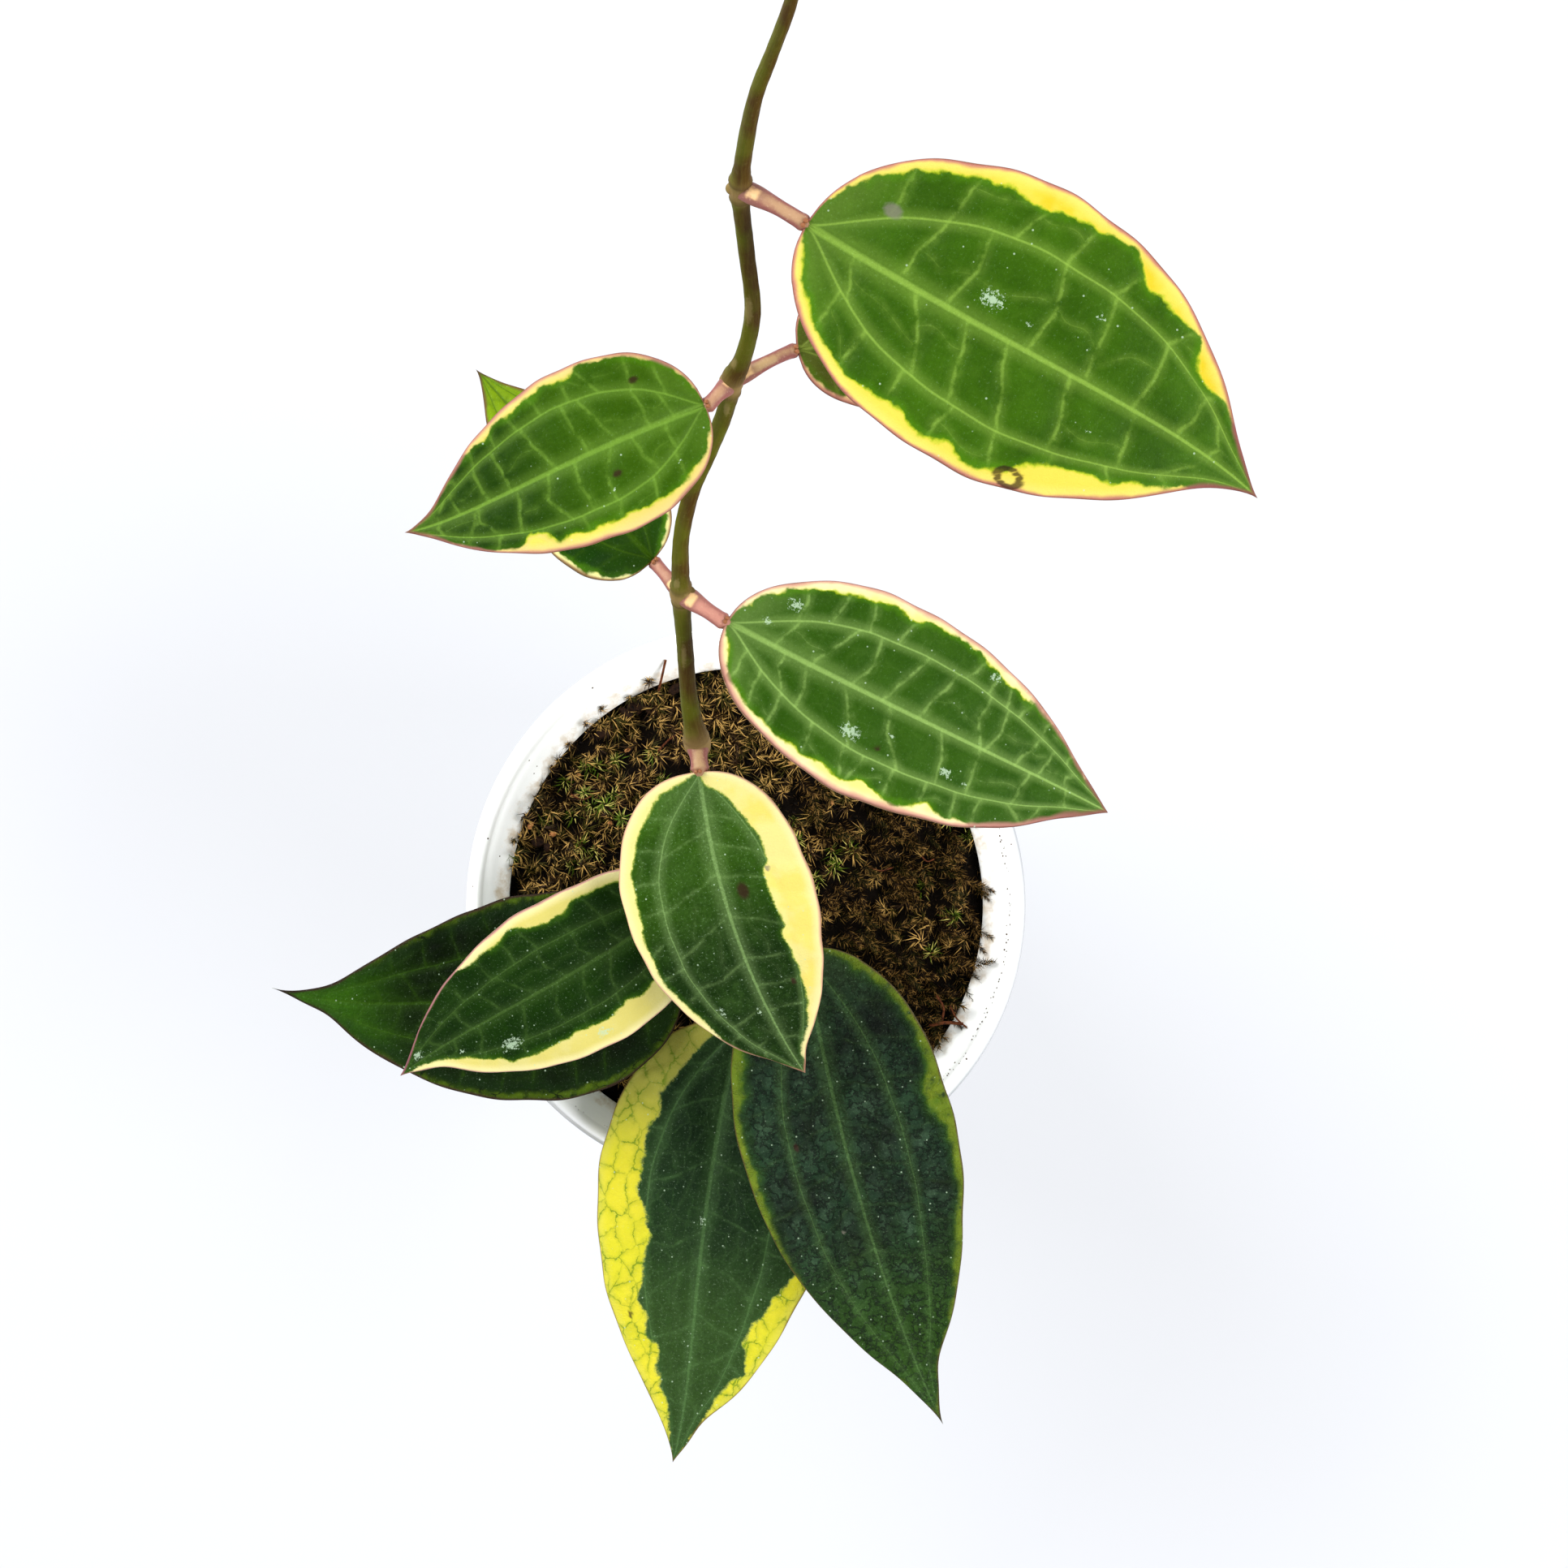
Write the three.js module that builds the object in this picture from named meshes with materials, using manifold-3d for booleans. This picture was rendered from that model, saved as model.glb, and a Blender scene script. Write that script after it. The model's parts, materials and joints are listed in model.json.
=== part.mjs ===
// A variegated Hoya macrophylla in a white nursery pot: one climbing stem with
// ten leathery leaves, standing in moss-covered potting mix.
// Millimetres, +Z up. The origin is the middle of the pot's foot, on the resting plane,
// and -Y is the front, where the two longest leaves hang over the rim.
import * as THREE from 'three';
import { mergeVertices } from 'three/addons/utils/BufferGeometryUtils.js';
import Module from 'manifold-3d';

// Pot: a twelve centimetre nursery pot with a rolled, hollow rim.
const POT_HEIGHT = 105;
const RIM_RADIUS = 60;
const RIM_DEPTH = 11;
const MOUTH_RADIUS = 56.4;
const SHELF_RADIUS = 52.8;
const SHELF_DROP = 4.4;
const FOOT_RADIUS = 44;
const POT_WALL = 1.6;
const POT_FLOOR = 2.2;
const POT_SIDES = 56;
const DRAIN_HOLES = 5;
const DRAIN_RADIUS = 3.5;
const DRAIN_CIRCLE = 26;

// Filling: potting mix under a carpet of moss.
const SEAT_GAP = 0.3;
const MIX_TOP = 96;
const MOSS_TOP = 101.4;
const MOSS_DOME = 1.2;
const MOSS_RINGS = 18;
const TUFT_RISE = 1.7;
const TUFT_DIP = 0.9;
const STEM_HOLE_RADIUS = 2.4;

// Stem: centre line from its foot in the mix to the growing tip, as x, y, z and diameter.
const STEM_FOOT = [-4.2, -10.3, 74, 3.8];
const STEM_LINE = [
  STEM_FOOT,
  [-4.2, -10.3, 88, 3.9],
  [-4.2, -10.3, 101, 4.0],
  [-4.0, -9.6, 107, 4.0],
  [-3.5, -8.0, 113, 4.9],
  [-2.6, -4.9, 121, 3.8],
  [-1.1, -0.7, 130, 3.7],
  [-0.3, 2.0, 135, 4.8],
  [-2.6, 9.5, 138.6, 3.7],
  [-6.6, 21.2, 143, 3.7],
  [-8.5, 29.0, 150, 3.5],
  [-8.8, 32.6, 158.5, 3.7],
  [-8.9, 34.1, 166, 5.2],
  [-9.5, 37.6, 170.6, 4.0],
  [-10.2, 42.9, 178, 3.3],
  [-10.6, 52.0, 191, 3.1],
  [-10.9, 59.4, 202, 3.4],
  [-10.9, 61.4, 205, 4.4],
  [-10.9, 64.2, 209.4, 3.3],
  [-10.4, 71.0, 220, 3.0],
  [-7.9, 78.7, 233.2, 2.9],
  [-4.6, 84.6, 243.5, 2.9],
  [-1.7, 90.6, 254.3, 3.0],
  [-0.8, 94.2, 260, 4.2],
  [1.1, 97.0, 266.8, 3.0],
  [3.0, 103.0, 280, 2.7],
  [2.2, 110.6, 297.2, 2.6],
  [1.5, 115.8, 310.4, 2.8],
  [1.4, 117.8, 315, 3.8],
  [1.8, 120.2, 321, 2.7],
  [4.0, 126.6, 342, 2.3],
  [6.5, 130.5, 354.4, 2.1],
  [9.2, 134.5, 370, 1.9],
  [11.0, 139.5, 383, 1.6],
  [11.4, 143.0, 391, 1.0],
];
const STEM_SIDES = 8;
const RINGS_PER_SPAN = 2;

// Nodes of the stem, where the leaves grow in pairs, from the lowest one up.
const NODE_POINTS = {
  lowest: [-3.9, -9.2, 108.6],
  first: [-3.5, -8.0, 113],
  second: [-0.3, 2.0, 135],
  third: [-8.9, 34.1, 166],
  fourth: [-10.9, 61.4, 205],
  fifth: [-0.8, 94.2, 260],
  sixth: [1.4, 117.8, 315],
};
// Buds and the scars of fallen leaves, as node, direction from the stem, and radius.
const STEM_BUDS = [
  { node: 'fourth', toward: [0.9, 0.1, 0.5], radius: 1.2 },
  { node: 'third', toward: [-0.9, 0.3, 0.5], radius: 1.5 },
  { node: 'sixth', toward: [-0.95, -0.1, 0.2], radius: 1.1 },
];

// Blades: shared shape of the species.
const BLADE_EDGE = 0.8;
const BLADE_BODY = 1.2;
const MIDRIB_KEEL = 1.3;
const BLADE_FOLD = 5;
const BLADE_ARCH = 1.3;
const TIP_CURL = -8;
const VEIN_SPREAD = 0.12;
const QUILT_RISE = 0.5;
const QUILTS = 9;
const EDGE_WAVES = 2.5;
const SPINE_STEPS = 80;
const PETIOLE_SIDES = 8;

// Leaves, from the top of the stem down. Angles are in degrees: heading runs from +X toward
// +Y, turn and hook bend the blade sideways, rise lifts its base, droop lowers its tip and
// tilt rolls it about its midrib. widest is the place of the greatest width along the
// length, bluntBase and bluntTip shape the outline, and veins is the share of the half
// width at which the two side veins run. stalk lists the petiole's diameters.
const LEAVES = [
  { name: 'leaf_1', node: 'sixth', base: [11.5, 111.8, 318], length: 83.6, width: 45.4,
    heading: -27.5, turn: 11.5, hook: -19, rise: 11.5, droop: -30, tilt: 5.5, lopsided: 0.06,
    widest: 0.41, bluntBase: 0.61, bluntTip: 0.72, veins: 0.62, wave: 0.5, phase: 0.4,
    stalk: [3.2, 2.6], lift: 1.5, colour: '#4f8a35' },
  { name: 'leaf_2', node: 'fifth', base: [-5, 90, 263], length: 58.6, width: 30,
    heading: 206, turn: 7.5, hook: -25, rise: 17, droop: -45, tilt: 1, lopsided: -0.01,
    widest: 0.34, bluntBase: 0.69, bluntTip: 0.62, veins: 0.65, wave: 0.3, phase: 2,
    stalk: [3.0, 2.6], lift: 0.5, colour: '#4b8634' },
  { name: 'leaf_3', node: 'fifth', base: [10.4, 99.9, 259], length: 51.2, width: 26.6,
    heading: 12, turn: 2, hook: 0, rise: 0.5, droop: -25, tilt: 0.5, lopsided: 0,
    widest: 0.37, bluntBase: 0.58, bluntTip: 0.36, veins: 0.5, wave: 0.3, phase: 1,
    stalk: [2.7, 2.4], lift: 2.5, colour: '#48802f' },
  { name: 'leaf_4', node: 'fourth', base: [-16.1, 67.6, 203], length: 50.8, width: 25,
    heading: 133, turn: -2, hook: -1.5, rise: 17.5, droop: -40, tilt: 10.5, lopsided: 0.04,
    widest: 0.31, bluntBase: 0.7, bluntTip: 0.62, veins: 0.5, wave: 0.3, phase: 4,
    stalk: [2.9, 2.5], lift: 0.3, colour: '#427a2c' },
  { name: 'leaf_5', node: 'fourth', base: [-2.5, 56.1, 206], length: 83.4, width: 39.2,
    heading: -25.5, turn: 4.5, hook: -4, rise: 2.5, droop: -25, tilt: -15.5, lopsided: 0.01,
    widest: 0.39, bluntBase: 0.64, bluntTip: 0.42, veins: 0.6, wave: 0.5, phase: 3.1,
    stalk: [3.7, 3.0], lift: 0.5, colour: '#3f7a33' },
  { name: 'leaf_6', node: 'third', base: [-8.4, 28.4, 169], length: 71, width: 38.4,
    heading: -70.5, turn: 26.5, hook: 0, rise: -3, droop: -32, tilt: 11, lopsided: -0.06,
    widest: 0.36, bluntBase: 0.6, bluntTip: 0.5, veins: 0.65, wave: 0.4, phase: 5.2,
    stalk: [3.9, 3.5], lift: 0.4, colour: '#35632f' },
  { name: 'leaf_7', node: 'second', base: [-7.7, 5.7, 149], length: 76.8, width: 34.8,
    heading: 209, turn: -16, hook: 20, rise: -0.5, droop: -18, tilt: -19.5, lopsided: 0.03,
    widest: 0.41, bluntBase: 0.61, bluntTip: 0.62, veins: 0.5, wave: 0.4, phase: 0.9,
    stalk: [3.6, 3.1], lift: 2.5, colour: '#2f5f2d' },
  { name: 'leaf_8', node: 'first', base: [-13.6, -12, 117], length: 88.6, width: 43.8,
    heading: 185.5, turn: -16.5, hook: -13.5, rise: 7, droop: -16, tilt: -0.5, lopsided: 0.05,
    widest: 0.32, bluntBase: 0.8, bluntTip: 0.94, veins: 0.5, wave: 0.6, phase: 2.6,
    stalk: [3.8, 3.3], lift: 0.8, colour: '#27502a' },
  { name: 'leaf_9', node: 'lowest', base: [-1, -24.4, 115], length: 97.6, width: 49.8,
    heading: -96, turn: 15, hook: -17, rise: 2.5, droop: -15, tilt: 4, lopsided: 0.05,
    widest: 0.35, bluntBase: 0.68, bluntTip: 0.5, veins: 0.56, wave: 0.5, phase: 3.7,
    stalk: [3.9, 3.4], lift: 1, colour: '#2b4f33' },
  { name: 'leaf_10', node: 'second', base: [12.2, -7.7, 135], length: 106.8, width: 44.8,
    heading: -74, turn: 13.5, hook: 2, rise: 2, droop: -16, tilt: 5.5, lopsided: 0.04,
    widest: 0.36, bluntBase: 0.69, bluntTip: 0.72, veins: 0.55, wave: 0.9, phase: 4.4,
    stalk: [3.9, 3.4], lift: 1.8, colour: '#254a33' },
];
const ROWS_PER_LENGTH = 0.19;

const wasm = await Module();
wasm.setup();

// A closed mesh as a solid that can be joined and cut.
function solidOf(geometry) {
  const bare = geometry.clone();
  bare.deleteAttribute('normal');
  bare.deleteAttribute('uv');
  const merged = mergeVertices(bare, 1e-4);
  return new wasm.Manifold(new wasm.Mesh({
    numProp: 3,
    vertProperties: merged.attributes.position.array,
    triVerts: Uint32Array.from(merged.index.array),
  }));
}

function geometryOf(solid) {
  const mesh = solid.getMesh();
  const geometry = new THREE.BufferGeometry();
  geometry.setAttribute('position', new THREE.BufferAttribute(mesh.vertProperties, 3));
  geometry.setIndex(new THREE.BufferAttribute(mesh.triVerts, 1));
  geometry.computeVertexNormals();
  return geometry;
}

function geometryFrom(points, triangles) {
  const geometry = new THREE.BufferGeometry().setFromPoints(points);
  geometry.setIndex(triangles);
  return geometry;
}

// A profile of [radius, height] pairs turned about the Z axis.
function turned(profile, sides) {
  const points = profile.map(([radius, height]) => new THREE.Vector2(radius, height));
  return new THREE.LatheGeometry(points, sides).rotateX(Math.PI / 2);
}

function uprightPeg(radius, low, high, x, y, sides) {
  const peg = new THREE.CylinderGeometry(radius, radius, high - low, sides);
  return peg.rotateX(Math.PI / 2).translate(x, y, (low + high) / 2);
}

// Repeatable random numbers from 0 to 1.
function seededRandom(seed) {
  let state = seed;
  return () => {
    state = (state + 0x6d2b79f5) | 0;
    let mixed = Math.imul(state ^ (state >>> 15), 1 | state);
    mixed = (mixed + Math.imul(mixed ^ (mixed >>> 7), 61 | mixed)) ^ mixed;
    return ((mixed ^ (mixed >>> 14)) >>> 0) / 4294967296;
  };
}

// Radius of the pot's inner wall at a height below the shelf under the rim.
function innerRadius(height) {
  const shelf = POT_HEIGHT - SHELF_DROP;
  const low = FOOT_RADIUS - POT_WALL;
  return low + (SHELF_RADIUS - 0.3 - low) * (height - POT_FLOOR) / (shelf - POT_FLOOR);
}

// The pot's wall rises to a rolled rim with a hollow skirt outside, and inside the rim a
// sloping shelf leads down to the straight inner wall.
function potGeometry() {
  const shelf = POT_HEIGHT - SHELF_DROP;
  const skirt = POT_HEIGHT - RIM_DEPTH;
  const profile = [
    [0, 0],
    [FOOT_RADIUS - 0.8, 0],
    [FOOT_RADIUS, 0.8],
    [SHELF_RADIUS + POT_WALL, shelf - 1.2],
    [RIM_RADIUS - 2.4, shelf + 1],
    [RIM_RADIUS - 2.2, skirt + 0.6],
    [RIM_RADIUS - 1.7, skirt],
    [RIM_RADIUS - 1.0, skirt],
    [RIM_RADIUS - 0.5, skirt + 0.6],
    [RIM_RADIUS, POT_HEIGHT - 2.2],
    [RIM_RADIUS - 0.3, POT_HEIGHT - 0.9],
    [RIM_RADIUS - 1.1, POT_HEIGHT - 0.2],
    [RIM_RADIUS - 1.9, POT_HEIGHT],
    [MOUTH_RADIUS + 0.8, POT_HEIGHT - 0.3],
    [MOUTH_RADIUS, POT_HEIGHT - 1.1],
    [SHELF_RADIUS, shelf],
    [innerRadius(POT_FLOOR + 1), POT_FLOOR + 1],
    [innerRadius(POT_FLOOR) - 1, POT_FLOOR],
    [0, POT_FLOOR],
  ];
  let pot = solidOf(turned(profile, POT_SIDES));
  for (let hole = 0; hole < DRAIN_HOLES; hole += 1) {
    const angle = 2 * Math.PI * (hole + 0.5) / DRAIN_HOLES;
    const x = DRAIN_CIRCLE * Math.cos(angle);
    const y = DRAIN_CIRCLE * Math.sin(angle);
    pot = pot.subtract(solidOf(uprightPeg(DRAIN_RADIUS, -1, POT_FLOOR + 1, x, y, 12)));
  }
  return geometryOf(pot);
}

// The potting mix fills the pot, with a plain hole for the buried foot of the stem.
function mixGeometry() {
  const profile = [
    [0, POT_FLOOR + SEAT_GAP],
    [innerRadius(POT_FLOOR) - 2, POT_FLOOR + SEAT_GAP],
    [innerRadius(POT_FLOOR + 2) - SEAT_GAP, POT_FLOOR + 2],
    [innerRadius(MIX_TOP) - SEAT_GAP, MIX_TOP - 1],
    [innerRadius(MIX_TOP) - 1.5, MIX_TOP],
    [0, MIX_TOP],
  ];
  const [x, y, foot] = STEM_FOOT;
  const hole = uprightPeg(STEM_HOLE_RADIUS, foot - SEAT_GAP, MIX_TOP + 1, x, y, 10);
  return geometryOf(solidOf(turned(profile, POT_SIDES / 2)).subtract(solidOf(hole)));
}

// One point of the moss: ring 0 is the middle, and ring k holds 6k points. Every third
// point of this triangular net is the top of a tuft, and the rest lie in the dips between.
function mossPoint(ring, place, random) {
  const edge = innerRadius(MIX_TOP + 1) - SEAT_GAP;
  const corner = ring ? Math.floor(place / ring) : 0;
  const along = ring ? place % ring : 0;
  const axial = [[1, 0], [0, 1], [-1, 1], [-1, 0], [0, -1], [1, -1], [1, 0]];
  const [ax, ay] = axial[corner];
  const [bx, by] = axial[corner + 1];
  const column = (ring - along) * ax + along * bx;
  const row = (ring - along) * ay + along * by;
  const isTuft = (((column - row) % 3) + 3) % 3 === 0;
  const atEdge = ring === MOSS_RINGS;
  const stray = atEdge ? 0 : 0.9;
  const angle = ring ? 2 * Math.PI * place / (6 * ring) : 0;
  const radius = edge * ring / MOSS_RINGS - (atEdge ? 1.2 * random() : 0);
  const x = radius * Math.cos(angle) + stray * (random() - 0.5);
  const y = radius * Math.sin(angle) + stray * (random() - 0.5);
  const dome = MOSS_DOME * (1 - 2 * (ring / MOSS_RINGS) ** 2);
  const relief = isTuft ? TUFT_RISE * (0.6 + 0.6 * random()) : -TUFT_DIP * random();
  return new THREE.Vector3(x, y, MOSS_TOP + dome + (atEdge ? 0.5 * relief : relief));
}

// The moss carpet: tufted above, flat below, with a plain hole for the stem.
function mossGeometry() {
  const random = seededRandom(7);
  const points = [];
  const triangles = [];
  const first = (ring) => (ring ? 1 + 3 * ring * (ring - 1) : 0);
  for (let ring = 0; ring <= MOSS_RINGS; ring += 1) {
    for (let place = 0; place < Math.max(1, 6 * ring); place += 1) {
      points.push(mossPoint(ring, place, random));
    }
  }
  const at = (ring, place) => first(ring) + (ring ? place % (6 * ring) : 0);
  for (let ring = 1; ring <= MOSS_RINGS; ring += 1) {
    for (let corner = 0; corner < 6; corner += 1) {
      for (let step = 0; step < ring; step += 1) {
        const outer = corner * ring + step;
        const inner = corner * (ring - 1) + step;
        triangles.push(at(ring, outer), at(ring, outer + 1), at(ring - 1, inner));
        if (step < ring - 1) {
          triangles.push(at(ring - 1, inner), at(ring, outer + 1), at(ring - 1, inner + 1));
        }
      }
    }
  }
  const rim = 6 * MOSS_RINGS;
  const below = points.length;
  for (let place = 0; place < rim; place += 1) {
    const { x, y } = points[at(MOSS_RINGS, place)];
    points.push(new THREE.Vector3(x, y, MIX_TOP + SEAT_GAP));
  }
  const middle = points.length;
  points.push(new THREE.Vector3(0, 0, MIX_TOP + SEAT_GAP));
  for (let place = 0; place < rim; place += 1) {
    const next = (place + 1) % rim;
    const top = at(MOSS_RINGS, place);
    const topNext = at(MOSS_RINGS, next);
    triangles.push(top, below + place, below + next, top, below + next, topNext);
    triangles.push(middle, below + next, below + place);
  }
  const [x, y] = STEM_FOOT;
  const hole = uprightPeg(STEM_HOLE_RADIUS, MIX_TOP - 1, MOSS_TOP + 8, x, y, 10);
  return geometryOf(solidOf(geometryFrom(points, triangles)).subtract(solidOf(hole)));
}

// A round stalk through the places of a line of [x, y, z, diameter], closed at both ends.
function stalkGeometry(line, sides, extra = 0) {
  const places = line.map(([x, y, z]) => new THREE.Vector3(x, y, z));
  const curve = new THREE.CatmullRomCurve3(places, false, 'centripetal');
  const rings = (line.length - 1) * RINGS_PER_SPAN;
  const points = [];
  const triangles = [];
  let across = null;
  for (let ring = 0; ring <= rings; ring += 1) {
    const span = Math.min(Math.floor(ring / RINGS_PER_SPAN), line.length - 2);
    const share = ring / RINGS_PER_SPAN - span;
    const radius = THREE.MathUtils.lerp(line[span][3], line[span + 1][3], share) / 2 + extra;
    const centre = curve.getPoint(ring / rings);
    const along = curve.getTangent(ring / rings);
    across ??= new THREE.Vector3(along.z, along.x, along.y).cross(along);
    across.addScaledVector(along, -across.dot(along)).normalize();
    const beside = new THREE.Vector3().crossVectors(along, across);
    for (let side = 0; side < sides; side += 1) {
      const angle = 2 * Math.PI * side / sides;
      const point = centre.clone().addScaledVector(across, radius * Math.cos(angle));
      points.push(point.addScaledVector(beside, radius * Math.sin(angle)));
    }
  }
  for (let ring = 0; ring < rings; ring += 1) {
    for (let side = 0; side < sides; side += 1) {
      const a = ring * sides + side;
      const b = ring * sides + (side + 1) % sides;
      triangles.push(a, b, b + sides, a, b + sides, a + sides);
    }
  }
  const last = rings * sides;
  const foot = points.push(places[0].clone()) - 1;
  const head = points.push(places[places.length - 1].clone()) - 1;
  for (let side = 0; side < sides; side += 1) {
    const next = (side + 1) % sides;
    triangles.push(foot, next, side, head, last + side, last + next);
  }
  return geometryFrom(points, triangles);
}

// The stem with its swollen nodes, and the buds and leaf scars that stand on them, grown
// by an extra thickness where the solid is used to clear a neighbour.
function stemSolid(extra = 0) {
  let stem = solidOf(stalkGeometry(STEM_LINE, STEM_SIDES, extra));
  for (const { node, toward, radius } of STEM_BUDS) {
    const place = new THREE.Vector3(...NODE_POINTS[node]);
    const outward = new THREE.Vector3(...toward).normalize().multiplyScalar(1.7);
    const bud = new THREE.SphereGeometry(radius + extra, 7, 5);
    stem = stem.add(solidOf(bud.translate(...place.add(outward))));
  }
  return stem;
}

// Half the width of a blade, as a share of its greatest half width, at a place along it.
function outlineShare(leaf, along) {
  const power = Math.log(0.5) / Math.log(leaf.widest);
  const arc = Math.sin(Math.PI * Math.min(1, along) ** power);
  return Math.max(0, arc) ** (leaf.bluntBase + leaf.bluntTip * along ** 3);
}

function sideVein(leaf, along) {
  return leaf.veins * (1 - Math.exp(-along / VEIN_SPREAD));
}

// Forward direction of the midrib at a place along the blade, and the two directions
// across it: toward the left edge, and up out of the upper face.
function bladeFrame(leaf, along) {
  const degrees = leaf.heading + leaf.turn * (along - 0.5) + leaf.hook * along ** 5;
  const heading = THREE.MathUtils.degToRad(degrees);
  const pitch = THREE.MathUtils.degToRad(leaf.rise + leaf.droop * along + TIP_CURL * along ** 4);
  const forward = new THREE.Vector3(Math.cos(heading), Math.sin(heading), 0);
  forward.multiplyScalar(Math.cos(pitch)).setZ(Math.sin(pitch));
  const left = new THREE.Vector3(-Math.sin(heading), Math.cos(heading), 0);
  left.applyAxisAngle(forward, THREE.MathUtils.degToRad(leaf.tilt));
  return { forward, left, up: new THREE.Vector3().crossVectors(forward, left) };
}

// The midrib's places, found by walking from the base in short steps.
function bladeSpine(leaf) {
  const place = new THREE.Vector3(...leaf.base);
  const spine = [place.clone()];
  for (let step = 0; step < SPINE_STEPS; step += 1) {
    const { forward } = bladeFrame(leaf, (step + 0.5) / SPINE_STEPS);
    spine.push(place.addScaledVector(forward, leaf.length / SPINE_STEPS).clone());
  }
  return spine;
}

// Height of the upper face's relief: creased along the three main veins, raised in quilts
// between them, and gently waved at the margin.
function bladeRelief(leaf, along, across) {
  const vein = sideVein(leaf, along);
  const share = Math.abs(across);
  const inside = share < vein;
  const between = inside ? share / vein : (share - vein) / (1 - vein);
  const quilt = 0.45 + 0.55 * Math.sin(Math.PI * QUILTS * along) ** 2;
  const rise = (inside ? 1 : 0.7) * QUILT_RISE * quilt * Math.sin(Math.PI * between);
  const wave = Math.sin(2 * Math.PI * EDGE_WAVES * along + leaf.phase + (across > 0 ? 0 : 2));
  return rise + leaf.wave * wave * share ** 3;
}

// A place on the blade: along runs from base to tip, and across from -1 at the right edge
// to 1 at the left edge. depth is measured down from the upper face.
function bladePoint(leaf, spine, along, across, depth) {
  const step = Math.min(Math.floor(along * SPINE_STEPS), SPINE_STEPS - 1);
  const middle = spine[step].clone().lerp(spine[step + 1], along * SPINE_STEPS - step);
  const { left, up } = bladeFrame(leaf, along);
  const half = leaf.width / 2 * outlineShare(leaf, along);
  const reach = across * half * (1 + leaf.lopsided * Math.sign(across));
  const fold = THREE.MathUtils.degToRad(BLADE_FOLD);
  const arch = BLADE_ARCH * (2 * reach / leaf.width) ** 2;
  const fade = outlineShare(leaf, along);
  const height = Math.abs(reach) * Math.sin(fold) - arch + fade * bladeRelief(leaf, along, across);
  middle.addScaledVector(left, reach * Math.cos(fold));
  return middle.addScaledVector(up, height - depth);
}

// Thickness of the blade, which is fullest over the midrib near the base.
function bladeThickness(along, across) {
  const body = THREE.MathUtils.lerp(BLADE_BODY, BLADE_EDGE, Math.abs(across));
  return body + (across === 0 ? MIDRIB_KEEL * (1 - along) : 0);
}

// The blade as one thin closed solid. Its net follows the three main veins, and both
// faces are split into triangles alike.
function bladeGeometry(leaf) {
  const spine = bladeSpine(leaf);
  const rows = 2 * Math.round(leaf.length * ROWS_PER_LENGTH / 2);
  const points = [];
  const triangles = [];
  const grid = [];
  for (let row = 0; row <= rows; row += 1) {
    const along = (row / rows) ** 1.15;
    const vein = sideVein(leaf, along);
    const half = [vein / 2, vein, (1 + vein) / 2, 1];
    const columns = [...half.map((share) => -share).reverse(), 0, ...half];
    const isEnd = row === 0 || row === rows;
    grid.push((isEnd ? [0] : columns).map((across) => {
      const depth = isEnd ? BLADE_EDGE : bladeThickness(along, across);
      points.push(bladePoint(leaf, spine, along, across, 0));
      points.push(bladePoint(leaf, spine, along, across, depth));
      return points.length - 2;
    }));
  }
  const pick = (row, column) => grid[row][Math.min(column, grid[row].length - 1)];
  const bothFaces = (a, b, c) => {
    if (a !== b && b !== c && a !== c) triangles.push(a, b, c, a + 1, c + 1, b + 1);
  };
  const wall = (a, b) => triangles.push(a, b, b + 1, a, b + 1, a + 1);
  for (let row = 0; row < rows; row += 1) {
    for (let column = 0; column < 8; column += 1) {
      const a = pick(row, column);
      const b = pick(row + 1, column);
      const c = pick(row + 1, column + 1);
      const d = pick(row, column + 1);
      bothFaces(a, b, c);
      bothFaces(a, c, d);
    }
    wall(pick(row, 8), pick(row + 1, 8));
    wall(pick(row + 1, 0), pick(row, 0));
  }
  return geometryFrom(points, triangles);
}

// The petiole leaves its node, rises by the leaf's lift and runs into the midrib.
function petioleLine(leaf) {
  const spine = bladeSpine(leaf);
  const node = new THREE.Vector3(...NODE_POINTS[leaf.node]);
  const neck = bladePoint(leaf, spine, 0, 0, 0.5);
  const inside = bladePoint(leaf, spine, 0.045, 0, 1.1);
  const bend = node.clone().lerp(neck, 0.55).add(new THREE.Vector3(0, 0, leaf.lift));
  const [thick, thin] = leaf.stalk;
  return [
    [...node, thick],
    [...bend, (thick + thin) / 2],
    [...neck, thin],
    [...inside, 1.5],
  ];
}

// A whole leaf: blade and petiole grown together, clear of the stem at the leaf joint.
function leafGeometry(leaf, stemClearance) {
  const blade = solidOf(bladeGeometry(leaf));
  const petiole = solidOf(stalkGeometry(petioleLine(leaf), PETIOLE_SIDES));
  return geometryOf(blade.add(petiole).subtract(stemClearance));
}

function leathery(colour) {
  return new THREE.MeshStandardMaterial({ color: colour, roughness: 0.45, metalness: 0 });
}

function piece(name, geometry, material) {
  const mesh = new THREE.Mesh(geometry, material);
  mesh.name = name;
  return mesh;
}

const whitePlastic = new THREE.MeshStandardMaterial({ color: '#f3f3f1', roughness: 0.3 });
const darkMix = new THREE.MeshStandardMaterial({ color: '#2b2018', roughness: 0.95 });
const oliveMoss = new THREE.MeshStandardMaterial({ color: '#5c5427', roughness: 0.9 });
const greenBark = new THREE.MeshStandardMaterial({ color: '#6b6444', roughness: 0.6 });

const hoya = new THREE.Group();
hoya.add(piece('pot', potGeometry(), whitePlastic));
hoya.add(piece('potting_mix', mixGeometry(), darkMix));
hoya.add(piece('moss', mossGeometry(), oliveMoss));
hoya.add(piece('vine_stem', geometryOf(stemSolid()), greenBark));
const stemClearance = stemSolid(SEAT_GAP);
for (const leaf of LEAVES) {
  hoya.add(piece(leaf.name, leafGeometry(leaf, stemClearance), leathery(leaf.colour)));
}

export default hoya;
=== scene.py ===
import json
import math
import random
from functools import partial

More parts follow.
